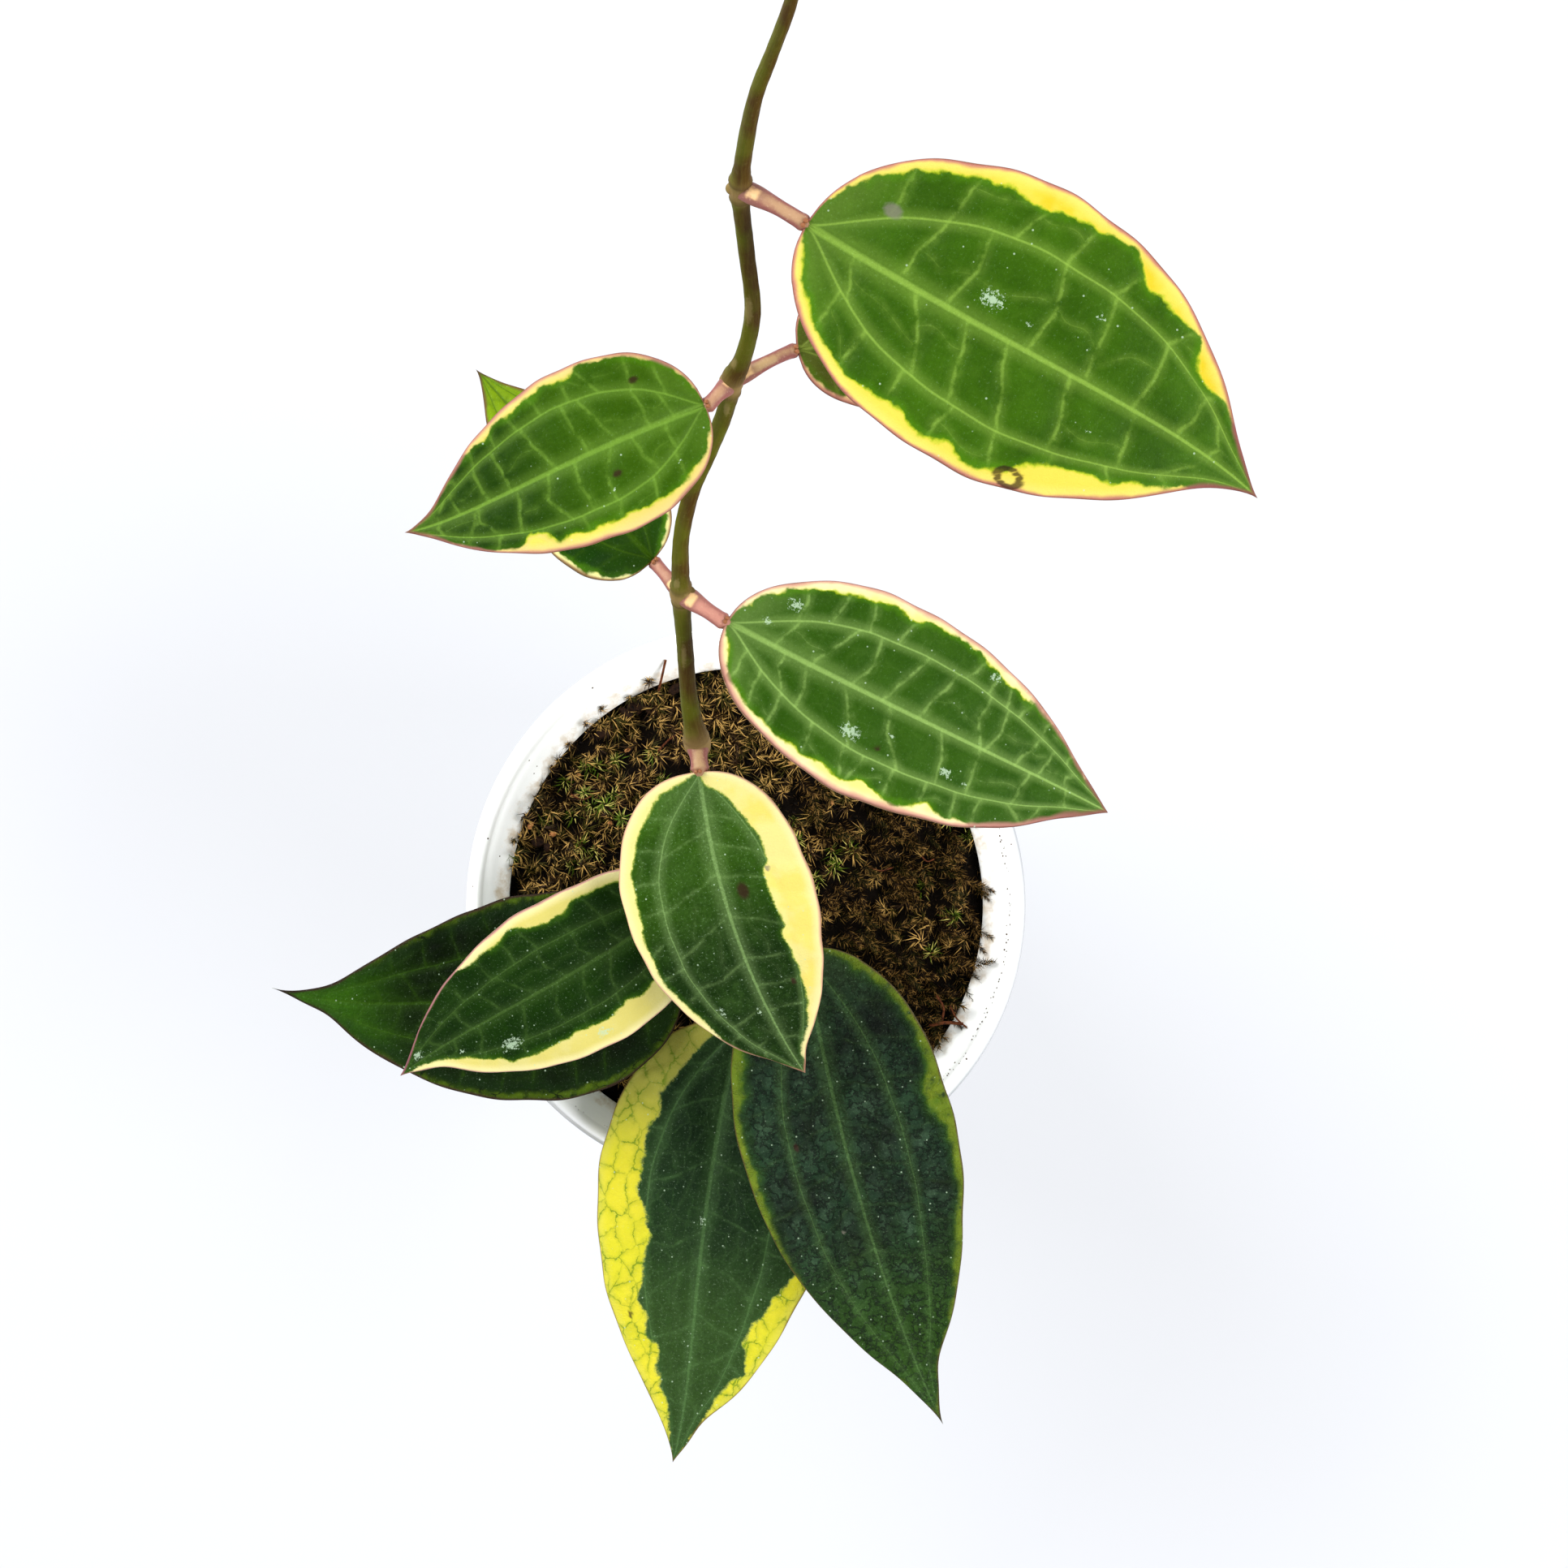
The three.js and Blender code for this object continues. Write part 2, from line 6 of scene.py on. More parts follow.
import bpy
import numpy as np
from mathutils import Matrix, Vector


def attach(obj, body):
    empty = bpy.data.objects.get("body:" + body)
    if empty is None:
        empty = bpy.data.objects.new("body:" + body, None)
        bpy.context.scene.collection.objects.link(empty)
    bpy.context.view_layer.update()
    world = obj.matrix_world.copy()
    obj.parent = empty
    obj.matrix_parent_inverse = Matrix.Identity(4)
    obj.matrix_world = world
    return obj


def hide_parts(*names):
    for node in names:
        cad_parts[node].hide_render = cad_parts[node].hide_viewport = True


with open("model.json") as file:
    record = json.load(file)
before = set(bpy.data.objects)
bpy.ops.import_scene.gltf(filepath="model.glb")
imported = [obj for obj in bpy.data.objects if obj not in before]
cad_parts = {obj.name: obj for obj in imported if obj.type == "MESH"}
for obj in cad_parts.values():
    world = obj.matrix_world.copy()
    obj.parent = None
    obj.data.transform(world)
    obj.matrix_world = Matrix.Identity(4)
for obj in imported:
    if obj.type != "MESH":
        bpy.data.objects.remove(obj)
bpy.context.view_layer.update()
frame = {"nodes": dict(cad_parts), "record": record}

# Camera: looks straight down on the plant from 855 mm above the table, a little beside the
# pot's axis, so that the vine climbs out of the top of the picture.
MM = 0.001
CAMERA_PLACE = (8.16, 26.0, 855)
LENS = 80.5
SENSOR = 36
bpy.ops.object.select_all(action="DESELECT")
bpy.ops.object.camera_add(location=[value * MM for value in CAMERA_PLACE], rotation=(0, 0, 0))
camera = bpy.context.object
camera.name = "camera_above"
camera.data.sensor_width = SENSOR
camera.data.lens = LENS
camera.data.clip_start = 0.02
bpy.context.scene.camera = camera

# Floor and light: a pale table that glows evenly, a soft window to the upper left, a
# reflector card to the right and pale walls. The dimmer ceiling keeps level leaves deep green.
FLOOR_SIDE = 3.0
TABLE_COLOUR = "#8b8d91"
ROOM_WHITE = "#fbfcff"
TABLE_GLOW = 0.5
CEILING_GLOW = 0.36
WALL_GLOW = 1.16
# Name, place, width and depth in metres, power, and the height above the table that it faces.
LIGHTS = [("window_light", (-1.05, 0.85, 1.05), 1.3, 1.1, 35.0, 0.15),
          ("reflector_card", (1.0, -0.3, 0.95), 0.9, 0.9, 18.0, 0.1)]
# The setting that the second word of a kind of node gives.
CHOICES = {"Math": "operation", "VectorMath": "operation", "MapRange": "interpolation_type",
           "Mix": "data_type", "TexVoronoi": "feature", "Attribute": "attribute_name", "UVMap": "uv_map"}


def linear(colour):
    """A colour written as sRGB hex, as linear red, green, blue and alpha."""
    shares = [int(colour[k:k + 2], 16) / 255 for k in (1, 3, 5)]
    return tuple(s / 12.92 if s <= 0.04045 else ((s + 0.055) / 1.055) ** 2.4 for s in shares) + (1.0,)


def add_node(tree, kind, *inputs, **settings):
    """Adds a shader node, such as "Math ADD", whose second word is the choice that this kind has.

    The inputs come in the order of the node's sockets, and a dict gives some by name. An input
    is a constant, an output, or a node whose first output is meant.
    """
    kind, _, choice = kind.partition(" ")
    node = tree.nodes.new("ShaderNode" + kind)
    if choice:
        settings[CHOICES[kind]] = choice
    for name, value in settings.items():
        setattr(node, name, value)
    live = [socket for socket in node.inputs if socket.enabled]
    by_name = inputs[-1] if inputs and isinstance(inputs[-1], dict) else {}
    pairs = list(zip(live, inputs[:len(inputs) - bool(by_name)]))
    pairs += [(next(s for s in live if s.name == name), value) for name, value in by_name.items()]
    for socket, value in pairs:
        if isinstance(value, bpy.types.Node):
            value = next(output for output in value.outputs if output.enabled)
        if isinstance(value, bpy.types.NodeSocket):
            tree.links.new(value, socket)
        else:
            socket.default_value = value
    return node


def new_material(name):
    """A new material and the function that adds nodes to it."""
    material = bpy.data.materials.new(name)
    material.use_nodes = True
    material.node_tree.nodes.clear()
    return material, partial(add_node, material.node_tree)


bpy.ops.object.select_all(action="DESELECT")
bpy.ops.mesh.primitive_plane_add(size=FLOOR_SIDE, location=(0, 0, 0))
floor = bpy.context.object
floor.name = "white_table_top"
table, add = new_material("lit_white_acrylic")
add("OutputMaterial", add("BsdfPrincipled", {
    "Base Color": linear(TABLE_COLOUR), "Roughness": 0.6,
    "Emission Color": linear(ROOM_WHITE), "Emission Strength": TABLE_GLOW}))
floor.data.materials.append(table)

world = bpy.data.worlds.new("pale_room")
bpy.context.scene.world = world
world.use_nodes = True
world.node_tree.nodes.clear()
add = partial(add_node, world.node_tree)
height = add("SeparateXYZ", add("TexCoord").outputs["Generated"]).outputs["Z"]
room = add("MapRange SMOOTHSTEP", height, 0.6, 0.92, WALL_GLOW, CEILING_GLOW)
add("OutputWorld", add("Background", linear(ROOM_WHITE), room))
bpy.context.scene.view_settings.view_transform = "Standard"

for name, place, width, depth, power, faced in LIGHTS:
    bpy.ops.object.light_add(type="AREA", location=place)
    lamp = bpy.context.object
    lamp.name = name
    lamp.data.shape = "RECTANGLE"
    lamp.data.size = width
    lamp.data.size_y = depth
    lamp.data.energy = power
    lamp.rotation_euler = (Vector(place) - Vector((0, 0, faced))).to_track_quat("Z", "Y").to_euler()

# Pot: a twelve centimetre nursery pot, moulded in one piece in glossy white polypropylene.
# Its rim is rolled over into a hollow skirt, and the inside slopes to a shelf at the wall.
POT_SIDES = 168
POT_PROFILE = [
    (43.2, 0.0), (43.7, 0.2), (44.0, 0.8), (54.3, 98.6), (54.8, 100.2), (56.2, 101.3), (57.5, 101.7),
    (57.7, 101.4), (57.75, 94.8), (57.95, 94.2), (58.3, 94.0), (59.1, 94.0), (59.5, 94.3),
    (59.65, 94.9), (59.9, 101.7), (60.0, 102.5), (59.85, 103.2), (59.45, 103.45), (59.2, 103.5),
    (59.05, 103.8), (58.8, 104.4), (58.4, 104.8), (57.9, 105.0), (57.35, 104.95), (56.8, 104.65),
    (56.5, 104.1), (56.3, 103.95), (56.0, 103.85), (54.6, 102.7), (53.3, 101.6), (52.2, 100.9),
    (51.3, 100.4), (51.0, 99.9), (51.6, 98.8), (52.45, 97.5), (42.6, 4.4), (42.3, 3.1), (41.6, 2.4),
    (40.8, 2.2),
]
DRAIN_CIRCLE = 26.0
DRAIN_RADIUS = 3.5
DRAIN_HOLES = 5


def only(*parts):
    """Selects these objects alone and makes the first one active."""
    bpy.ops.object.select_all(action="DESELECT")
    for part in parts:
        part.select_set(True)
    bpy.context.view_layer.objects.active = parts[0]


def join(parts):
    """Joins objects into the first one."""
    only(*parts)
    bpy.ops.object.join()
    return parts[0]


def apply_place(obj):
    """Puts an object's place, turn and scale into its mesh."""
    only(obj)
    bpy.ops.object.transform_apply(location=True, rotation=True, scale=True)


def finish_piece(obj, name, slot, *nodes):
    """Names a piece, puts it on the body, and hides the imported parts of the nodes that it stands for."""
    obj.name = name
    obj.data.name = name
    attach(obj, "root")
    if nodes:
        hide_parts(*nodes)


bpy.ops.object.select_all(action="DESELECT")
radius, height = POT_PROFILE[0]
bpy.ops.mesh.primitive_circle_add(
    vertices=POT_SIDES, radius=radius * MM, location=(0, 0, height * MM), fill_type="NGON")
pot = bpy.context.object
bpy.ops.object.mode_set(mode="EDIT")
bpy.ops.mesh.select_all(action="SELECT")
for next_radius, next_height in POT_PROFILE[1:]:
    bpy.ops.mesh.extrude_region_move(
        TRANSFORM_OT_translate={"value": (0, 0, (next_height - height) * MM)})
    bpy.ops.transform.resize(
        value=(next_radius / radius, next_radius / radius, 1), center_override=(0, 0, next_height * MM))
    radius, height = next_radius, next_height
bpy.ops.mesh.select_all(action="SELECT")
bpy.ops.mesh.normals_make_consistent(inside=False)
bpy.ops.object.mode_set(mode="OBJECT")
apply_place(pot)
drills = []
for hole in range(DRAIN_HOLES):
    angle = 2 * math.pi * (hole + 0.5) / DRAIN_HOLES
    bpy.ops.mesh.primitive_cylinder_add(
        vertices=32, radius=DRAIN_RADIUS * MM, depth=8 * MM,
        location=(DRAIN_CIRCLE * MM * math.cos(angle), DRAIN_CIRCLE * MM * math.sin(angle), 1 * MM))
    drills.append(bpy.context.object)
drill = join(drills)
only(pot)
cut = pot.modifiers.new("drain_holes", "BOOLEAN")
cut.operation = "DIFFERENCE"
cut.solver = "EXACT"
cut.object = drill
bpy.ops.object.modifier_apply(modifier=cut.name)
bpy.data.objects.remove(drill)
bpy.ops.object.shade_smooth_by_angle(angle=math.radians(38))

# The plastic is opaque and glossy. Below the rim it is painted greyer as painted shade, in faint
# patches, and the outer lip is painted darker toward the lower right as painted shade on the side
# away from the light. Soil has left tan smears beside the moss and dark crumbs in the rim's fine groove.
plastic, add = new_material("gloss_white_polypropylene")
in_mm = add("VectorMath SCALE", add("TexCoord").outputs["Object"], 1000)
from_axis = add("VectorMath LENGTH", add("VectorMath MULTIPLY", in_mm, (1, 1, 0)))
level = add("SeparateXYZ", in_mm).outputs["Z"]
high = add("Math GREATER_THAN", level, 97.0)
front_right = add("VectorMath DOT_PRODUCT", in_mm, (0.0032, -0.0032, 0))
# Painted shade: the wall below the rim is painted greyer in faint patches, darker than the lit rim.
wall_shade_noise = add("TexNoise", in_mm, 0.03, 5, 0.6, {"Distortion": 0.6})
wall_shade_share = add("MapRange", wall_shade_noise, 0.35, 0.65, 0.82)
painted_wall_shade = add("Math MULTIPLY", add("Math LESS_THAN", level, 98.0), wall_shade_share)
# Painted shade on the outer lip, darker toward the lower right, the side away from the light.
lip_shade_side = add("MapRange", front_right, -0.15, 0.12, 0.15)
painted_lip_shade = add("Math MULTIPLY", lip_shade_side, add("MapRange", from_axis, 58.7, 59.7))
smear_band = add("MapRange SMOOTHSTEP", from_axis, 56.0, 52.3, 0.0, 0.34)
smear_sum = add("Math ADD", add("TexNoise", in_mm, 0.22, 4, 0.65), smear_band)
smear = add("Math MULTIPLY", add("MapRange SMOOTHSTEP", smear_sum, 0.7, 1.06, 0.0, 0.7), high)
crumb = add("TexVoronoi", in_mm, 1.25)
crumb_dot = add("MapRange SMOOTHSTEP", crumb, 0.3, 0.2)
groove_sum = add("Math ADD", add("TexNoise", in_mm, 0.06, 2), front_right)
groove_on = add("MapRange SMOOTHSTEP", groove_sum, 0.48, 0.58)
groove = add("Math MULTIPLY", add("Math COMPARE", from_axis, 56.35, 0.42), groove_on)
stray_pick = add("SeparateColor", crumb.outputs["Color"]).outputs["Red"]
stray = add("Math MULTIPLY", add("Math GREATER_THAN", stray_pick, 0.993), high)
crumbs = add("Math MULTIPLY", crumb_dot, add("Math MAXIMUM", groove, stray))
colour = linear("#fefefd")
for share, over in ((add("TexNoise", in_mm, 0.05, 3), "#fafbfb"), (painted_wall_shade, "#c8caca"), (painted_lip_shade, "#a2a5a8"),
                    (smear, "#b89b6c"), (crumbs, "#4a3422")):
    colour = add("Mix RGBA", share, colour, linear(over))
relief = add("Bump", {"Strength": 0.05, "Distance": 0.0006, "Height": add("TexNoise", in_mm, 0.35, 2)})
gloss = add("MapRange", smear, 0.0, 1.0, 0.26, 0.75)
add("OutputMaterial", add("BsdfPrincipled", {"Base Color": colour, "Roughness": gloss, "Normal": relief}))
pot.data.materials.append(plastic)
finish_piece(pot, "nursery_pot", "white_plastic", "pot")

# Potting mix: damp bark and peat that fills the pot. Only its top edge and what shows
# through the drain holes is ever seen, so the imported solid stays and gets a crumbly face.
mix, add = new_material("damp_bark_and_peat")
in_mm = add("VectorMath SCALE", add("TexCoord").outputs["Object"], 1000)
lumps = add("TexVoronoi", in_mm, 0.45)
lump_tint = add("SeparateColor", lumps.outputs["Color"]).outputs["Red"]
dark = add("Mix RGBA", lump_tint, linear("#1b120b"), linear("#4a3220"))
mottled = add("Mix RGBA", add("TexNoise", in_mm, 1.1, 6), linear("#120c08"), dark)
relief = add("Bump", {"Strength": 0.9, "Distance": 0.0015, "Height": lumps}, invert=True)
add("OutputMaterial", add("BsdfPrincipled", {"Base Color": mottled, "Roughness": 0.9, "Normal": relief}))
for material_slot in frame["nodes"]["potting_mix"].material_slots:
    material_slot.material = mix

# Moss: a springy carpet of small shoots on a mat of their own old growth, laid on the mix and
# pushed against the wall. The mat and the low dead growth are the old growth's dark brown, taken
# to near black as painted shade in the gaps between shoots. Each shoot is a star or a fan of
# narrow curved leaflets.
MOSS_RADIUS = 51.6
MOSS_LEVEL = 99.6
MOSS_FOOT = 96.3
BED_RINGS = 44
BED_SIDES = 144
BED_WALL = 2.2
PITCH = 3.0
ROW_STEP = 0.87
STRAY = 0.9
GOLDEN_TURN = 2.4
FULL_TURN = 6.28
STEM_FOOT = (-4.2, -10.3)
STEM_CLEAR = 2.8
random.seed(11)


def moss_swell(x, y):
    """Height of the moss mat above its level, in millimetres, at a place in millimetres."""
    dome = 1.3 * (1 - 2 * (x * x + y * y) / MOSS_RADIUS ** 2)
    lumps = math.sin(0.31 * x + 0.17 * y) + math.sin(0.23 * y - 0.29 * x + 1.3)
    fine = math.sin(0.9 * x + 0.4 * y + 2.0) * math.sin(0.8 * y - 0.5 * x)
    return dome + 0.5 * lumps + 0.35 * fine


bpy.ops.object.select_all(action="DESELECT")
bpy.ops.mesh.primitive_circle_add(
    vertices=BED_SIDES, radius=MOSS_RADIUS * MM, location=(0, 0, MOSS_FOOT * MM), fill_type="NGON")
bed = bpy.context.object
bpy.ops.object.mode_set(mode="EDIT")
bpy.ops.mesh.select_all(action="SELECT")
bpy.ops.mesh.extrude_region_move(TRANSFORM_OT_translate={"value": (0, 0, BED_WALL * MM)})
for ring in range(BED_RINGS):
    bpy.ops.mesh.inset(thickness=MOSS_RADIUS / (BED_RINGS + 1) * MM)
bpy.ops.object.mode_set(mode="OBJECT")
apply_place(bed)
for corner in bed.data.vertices:
    x, y, z = (value / MM for value in corner.co)
    if z > MOSS_FOOT + 1:
        rough = random.uniform(-0.35, 0.35)
        sunk = 0.7 * max(0.0, math.hypot(x, y) - 49)
        corner.co.z = max(MOSS_LEVEL + moss_swell(x, y) + rough - sunk, MOSS_FOOT + 0.8) * MM
only(bed)
bpy.ops.object.shade_smooth()
# The mat's own dark brown is taken to near black, as painted shade in the gaps between shoots.
mat, add = new_material("dead_moss_mat")
in_mm = add("VectorMath SCALE", add("TexCoord").outputs["Object"], 1000)
fibre = add("TexNoise", in_mm, 1.6, 6, 0.75, {"Distortion": 1.2})
mat_colour = add("Mix RGBA", fibre, linear("#040200"), linear("#140b04"))
relief = add("Bump", {"Strength": 1.0, "Distance": 0.001, "Height": fibre})
add("OutputMaterial", add("BsdfPrincipled", {
    "Base Color": mat_colour, "Roughness": 0.95, "Specular IOR Level": 0.1, "Normal": relief}))
bed.data.materials.append(mat)
finish_piece(bed, "moss_mat", "moss", "moss")


def leaflet(root, axis, side, lift, spread, curl, length, width):
    """A narrow bent leaflet as 5 points, in millimetres: foot, three-cornered middle and tip."""
    across = np.cross(axis, side)
    lower = side * math.cos(lift) + axis * math.sin(lift) - across * curl * 0.4
    upper = side * math.cos(spread) + axis * math.sin(spread) + across * curl
    middle = root + lower * length * 0.42
    keel = axis * math.cos(lift) - side * math.sin(lift)
    return [root, middle + across * width / 2, middle - keel * width * 0.4, middle - across * width / 2,
            middle + upper * length * 0.58]


LEAFLET_FACES = np.array([(0, 2, 1), (0, 3, 2), (0, 1, 3), (4, 1, 2), (4, 2, 3), (4, 3, 1)])


def model_shoot(leaflets, reach, lows, highs, stem, width=0.3):
    """One shoot whose leaflets open from flat at its foot to steep at its top.

    Lows and highs are the lift and the spread, in degrees, of the lowest and highest leaflets,
    and the stem is the line that they grow along. Returns the points, and for each one how near
    the tip it is, its tint and its dryness.
    """
    points, tips, tints, dries = [], [], [], []
    curl = random.uniform(-0.55, 0.55)
    for k in range(leaflets):
        share = (k + random.random()) / leaflets
        knots = np.arange(len(stem)) / (len(stem) - 1)
        place = np.array([np.interp(share, knots, run) for run in np.transpose(stem)])
        axis = np.array(stem[-1], float) - stem[0]
        axis /= np.linalg.norm(axis)
        first = np.cross(axis, (0.31, 0.9, 0.2))
        first /= np.linalg.norm(first)
        turn = GOLDEN_TURN * k + random.uniform(-0.4, 0.4)
        side = first * math.cos(turn) + np.cross(axis, first) * math.sin(turn)
        lift = math.radians(lows[0] + (highs[0] - lows[0]) * share + random.uniform(-12, 12))
        spread = math.radians(lows[1] + (highs[1] - lows[1]) * share + random.uniform(-18, 18))
        points += leaflet(
            place, axis, side, lift, spread, curl + random.gauss(0, 0.12),
            reach * random.uniform(0.75, 1.15) * (1.05 - 0.3 * share), width * random.uniform(0.8, 1.2))
        tips += [0.0, 0.5, 0.5, 0.5, 1.0]
        tints += [random.gauss(0, 0.12)] * 5
        dries += [random.random()] * 5
    return np.array(points), np.array(tips), np.array(tints), np.array(dries)


def spread_shoots(name, models, places, material):
    """Copies shoots to their places: each place is x, y, z, lean, lean direction, turn, size, tint."""
    points, tips, tints, dries = [], [], [], []
    for x, y, z, lean, toward, turn, size, tint in places:
        shape, tip, own_tint, dry = models[random.randrange(len(models))]
        cos, sin = math.cos(turn), math.sin(turn)
        spin = np.array([[cos, -sin, 0], [sin, cos, 0], [0, 0, 1]])
        axis = np.array([-math.sin(toward), math.cos(toward), 0.0])
        cross = np.array([[0, -axis[2], axis[1]], [axis[2], 0, -axis[0]], [-axis[1], axis[0], 0]])
        tilt = np.eye(3) + math.sin(lean) * cross + (1 - math.cos(lean)) * cross @ cross
        points.append(shape @ (tilt @ spin).T * size + (x, y, z))
        tips.append(tip)
        tints.append(own_tint + tint)
        dries.append(dry)
    points = np.concatenate(points)
    first = np.arange(0, len(points), 5)[:, None, None]
    mesh = bpy.data.meshes.new(name)
    mesh.from_pydata((points * MM).tolist(), [], (LEAFLET_FACES + first).reshape(-1, 3).tolist())
    for label, values in (("tip", tips), ("tint", tints), ("dry", dries)):
        mesh.attributes.new(label, "FLOAT", "POINT").data.foreach_set("value", np.concatenate(values))
    obj = bpy.data.objects.new(name, mesh)
    bpy.context.scene.collection.objects.link(obj)
    mesh.materials.append(material)
    finish_piece(obj, name, "moss")
    return obj


# Moss leaflets are dull and thin: dark at the foot, and near black there as painted shade inside
# the shoot, brown or olive along the blade and straw where they are dry. Each shoot has its own
# tint, and the damp ones are fresh green.
def moss_material(name, foot, brown, green, straw):
    material, add = new_material(name)
    tip, tint, dryness = (add("Attribute " + field).outputs["Fac"] for field in ("tip", "tint", "dry"))
    in_mm = add("VectorMath SCALE", add("TexCoord").outputs["Object"], 1000)
    green_sum = add("Math ADD", add("TexNoise", in_mm, 0.09, 3), tint)
    green_share = add("MapRange SMOOTHSTEP", green_sum, 0.75, 1.35)
    dry_sum = add("Math MULTIPLY_ADD", tip, 0.5, dryness)
    dry_sum = add("Math MULTIPLY_ADD", add("TexNoise", in_mm, 0.33, 2), 1.4, dry_sum)
    dry_share = add("MapRange SMOOTHSTEP", dry_sum, 1.5, 1.85, 0.0, 0.95)
    body = add("Mix RGBA", green_share, linear(brown), linear(green))
    dried = add("Mix RGBA", dry_share, body, linear(straw))
    # Near black at each leaflet's foot: its own dark base, deepened as painted shade inside the shoot.
    coloured = add("Mix RGBA", add("MapRange", tip, 0.15, 0.6), linear(foot), dried)
    add("OutputMaterial", add("BsdfPrincipled", {
        "Base Color": coloured, "Roughness": 0.6, "Specular IOR Level": 0.1}))
    return material


UPRIGHT = [(0, 0, -0.8), (0, 0, 0.7)]
ARCHED = [(0, 0, -0.6), (0.4, 0, 1.2), (1.1, 0, 2.9), (2.0, 0, 4.6)]
stars = [model_shoot(30, 3.1, (10, -35), (78, 20), UPRIGHT, 0.24) for _ in range(6)]
fountains = [model_shoot(38, 4.0, (48, -40), (80, -15), UPRIGHT, 0.23) for _ in range(8)]
plumes = [model_shoot(62, 2.2, (38, 18), (75, 62), ARCHED, 0.23) for _ in range(6)]
tufts = [model_shoot(14, 2.2, (10, -10), (75, 50), UPRIGHT, 0.26) for _ in range(4)]
star_places, damp_places, fountain_places, plume_places, low_places = [], [], [], [], []
for row in range(-20, 21):
    for column in range(-18, 19):
        x = (column + 0.5 * (row % 2)) * PITCH + random.uniform(-STRAY, STRAY)
        y = row * PITCH * ROW_STEP + random.uniform(-STRAY, STRAY)
        away = math.hypot(x, y)
        if away > (52.2 if x < -20 and y > -25 else 51.0):
            continue
        lumpy = math.sin(0.42 * x + 1.1) * math.sin(0.38 * y + 0.4) + 0.5 * math.sin(1.1 * x - 0.8 * y)
        tint = random.random()
        z = MOSS_LEVEL + moss_swell(x, y)
        low_places.append((x + 1.4, y + 0.8, z - 0.6, random.uniform(0, 0.7),
                           random.uniform(0, FULL_TURN), 0.0, random.uniform(0.8, 1.1), tint - 0.2))
        if math.hypot(x - STEM_FOOT[0], y - STEM_FOOT[1]) < STEM_CLEAR or lumpy < -0.8:
            continue
        toward = math.atan2(y, x) + random.gauss(0, 1.0)
        size = random.uniform(0.8, 1.25) * (1 - 0.2 * max(0, away - 47) / 4)
        z += 0.7 + random.uniform(-0.6, 0.8) + 1.1 * lumpy
        lean = min(1.25, abs(random.gauss(0.8, 0.3)))
        if x < -20 and away > 48.5:
            z += 1.5
            toward = math.atan2(y, x) + random.gauss(0, 0.5)
        here = (x, y, z, lean, toward, random.uniform(0, FULL_TURN), size, tint)
        if x > 14 + 6 * math.sin(0.2 * y) and random.random() < 0.75:
            toward = random.gauss(-0.6, 0.55)
            plume_places.append((x, y, z - 0.2, random.uniform(0.35, 0.95), toward, toward, size, tint))
        elif tint > 0.8 and y < 34:
            damp_places.append(here)
        elif random.random() < 0.85:
            fountain_places.append(here)
        else:
            star_places.append(here)
dry_moss = moss_material("dry_moss_leaflets", "#030100", "#2a1905", "#343005", "#b8914e")
damp_moss = moss_material("damp_moss_leaflets", "#050400", "#2c3206", "#465a0a", "#bcb05c")
plume_moss = moss_material("brown_moss_plumes", "#030100", "#201203", "#262503", "#8c6a36")
# The low dead growth is near black: its own dark brown, deepened as painted shade in the gaps.
dead_moss = moss_material("dead_moss_leaflets", "#020100", "#0f0803", "#121004", "#2c1c09")
spread_shoots("moss_stars_dry", stars, star_places, dry_moss)
spread_shoots("moss_stars_damp", stars, damp_places, damp_moss)
spread_shoots("moss_fountains", fountains, fountain_places, dry_moss)
spread_shoots("moss_plumes", plumes, plume_places, plume_moss)
spread_shoots("moss_low_growth", tufts, low_places, dead_moss)

# Stem: one young climbing shoot, woody and round, with a swollen joint where each pair of
# leaves grows. Its smooth olive bark is dusty, and lighter brown round the joints.
STEM_LINE = [
    (*STEM_FOOT, 74, 3.8), (*STEM_FOOT, 88, 3.9), (*STEM_FOOT, 101, 4.0), (-4.0, -9.6, 107, 4.0),
    (-3.5, -8.0, 113, 4.9), (-2.6, -4.9, 121, 3.8), (-1.1, -0.7, 130, 3.7), (-0.3, 2.0, 135, 4.8),
    (-2.6, 9.5, 138.6, 3.7), (-6.6, 21.2, 143, 3.7), (-8.5, 29.0, 150, 3.5), (-8.8, 32.6, 158.5, 3.7),
    (-8.9, 34.1, 166, 5.5), (-9.5, 37.6, 170.6, 4.0), (-10.2, 42.9, 178, 3.3), (-10.6, 52.0, 191, 3.1),
    (-10.9, 59.4, 202, 3.4), (-10.9, 61.4, 205, 4.4), (-10.9, 64.2, 209.4, 3.3), (-10.4, 71.0, 220, 3.0),
    (-7.9, 78.7, 233.2, 2.9), (-4.6, 84.6, 243.5, 2.9), (-1.7, 90.6, 254.3, 3.0), (-0.8, 94.2, 260, 4.2),
    (1.1, 97.0, 266.8, 3.0), (3.0, 103.0, 280, 2.7), (2.2, 110.6, 297.2, 2.6), (1.5, 115.8, 310.4, 2.8),
    (1.4, 117.8, 315, 3.8), (1.8, 120.2, 321, 2.7), (4.0, 126.6, 342, 2.3), (6.5, 130.5, 354.4, 2.1),
    (9.2, 134.5, 370, 1.9), (11.0, 139.5, 383, 1.6), (11.4, 143.0, 391, 1.0),
]
JOINTS = {
    "lowest": (-3.9, -9.2, 108.6), "first": (-3.5, -8.0, 113), "second": (-0.3, 2.0, 135),
    "third": (-8.9, 34.1, 166), "fourth": (-10.9, 61.4, 205), "fifth": (-0.8, 94.2, 260),
    "sixth": (1.4, 117.8, 315),
}
STEM_STEPS = 8
STEM_SIDES = 20
BUDS = [("fourth", (0.9, 0.1, 0.5), 1.2, 1.7), ("third", (-0.9, 0.3, 0.5), 1.5, 1.7),
        ("sixth", (-0.95, -0.1, 0.2), 1.1, 1.15)]
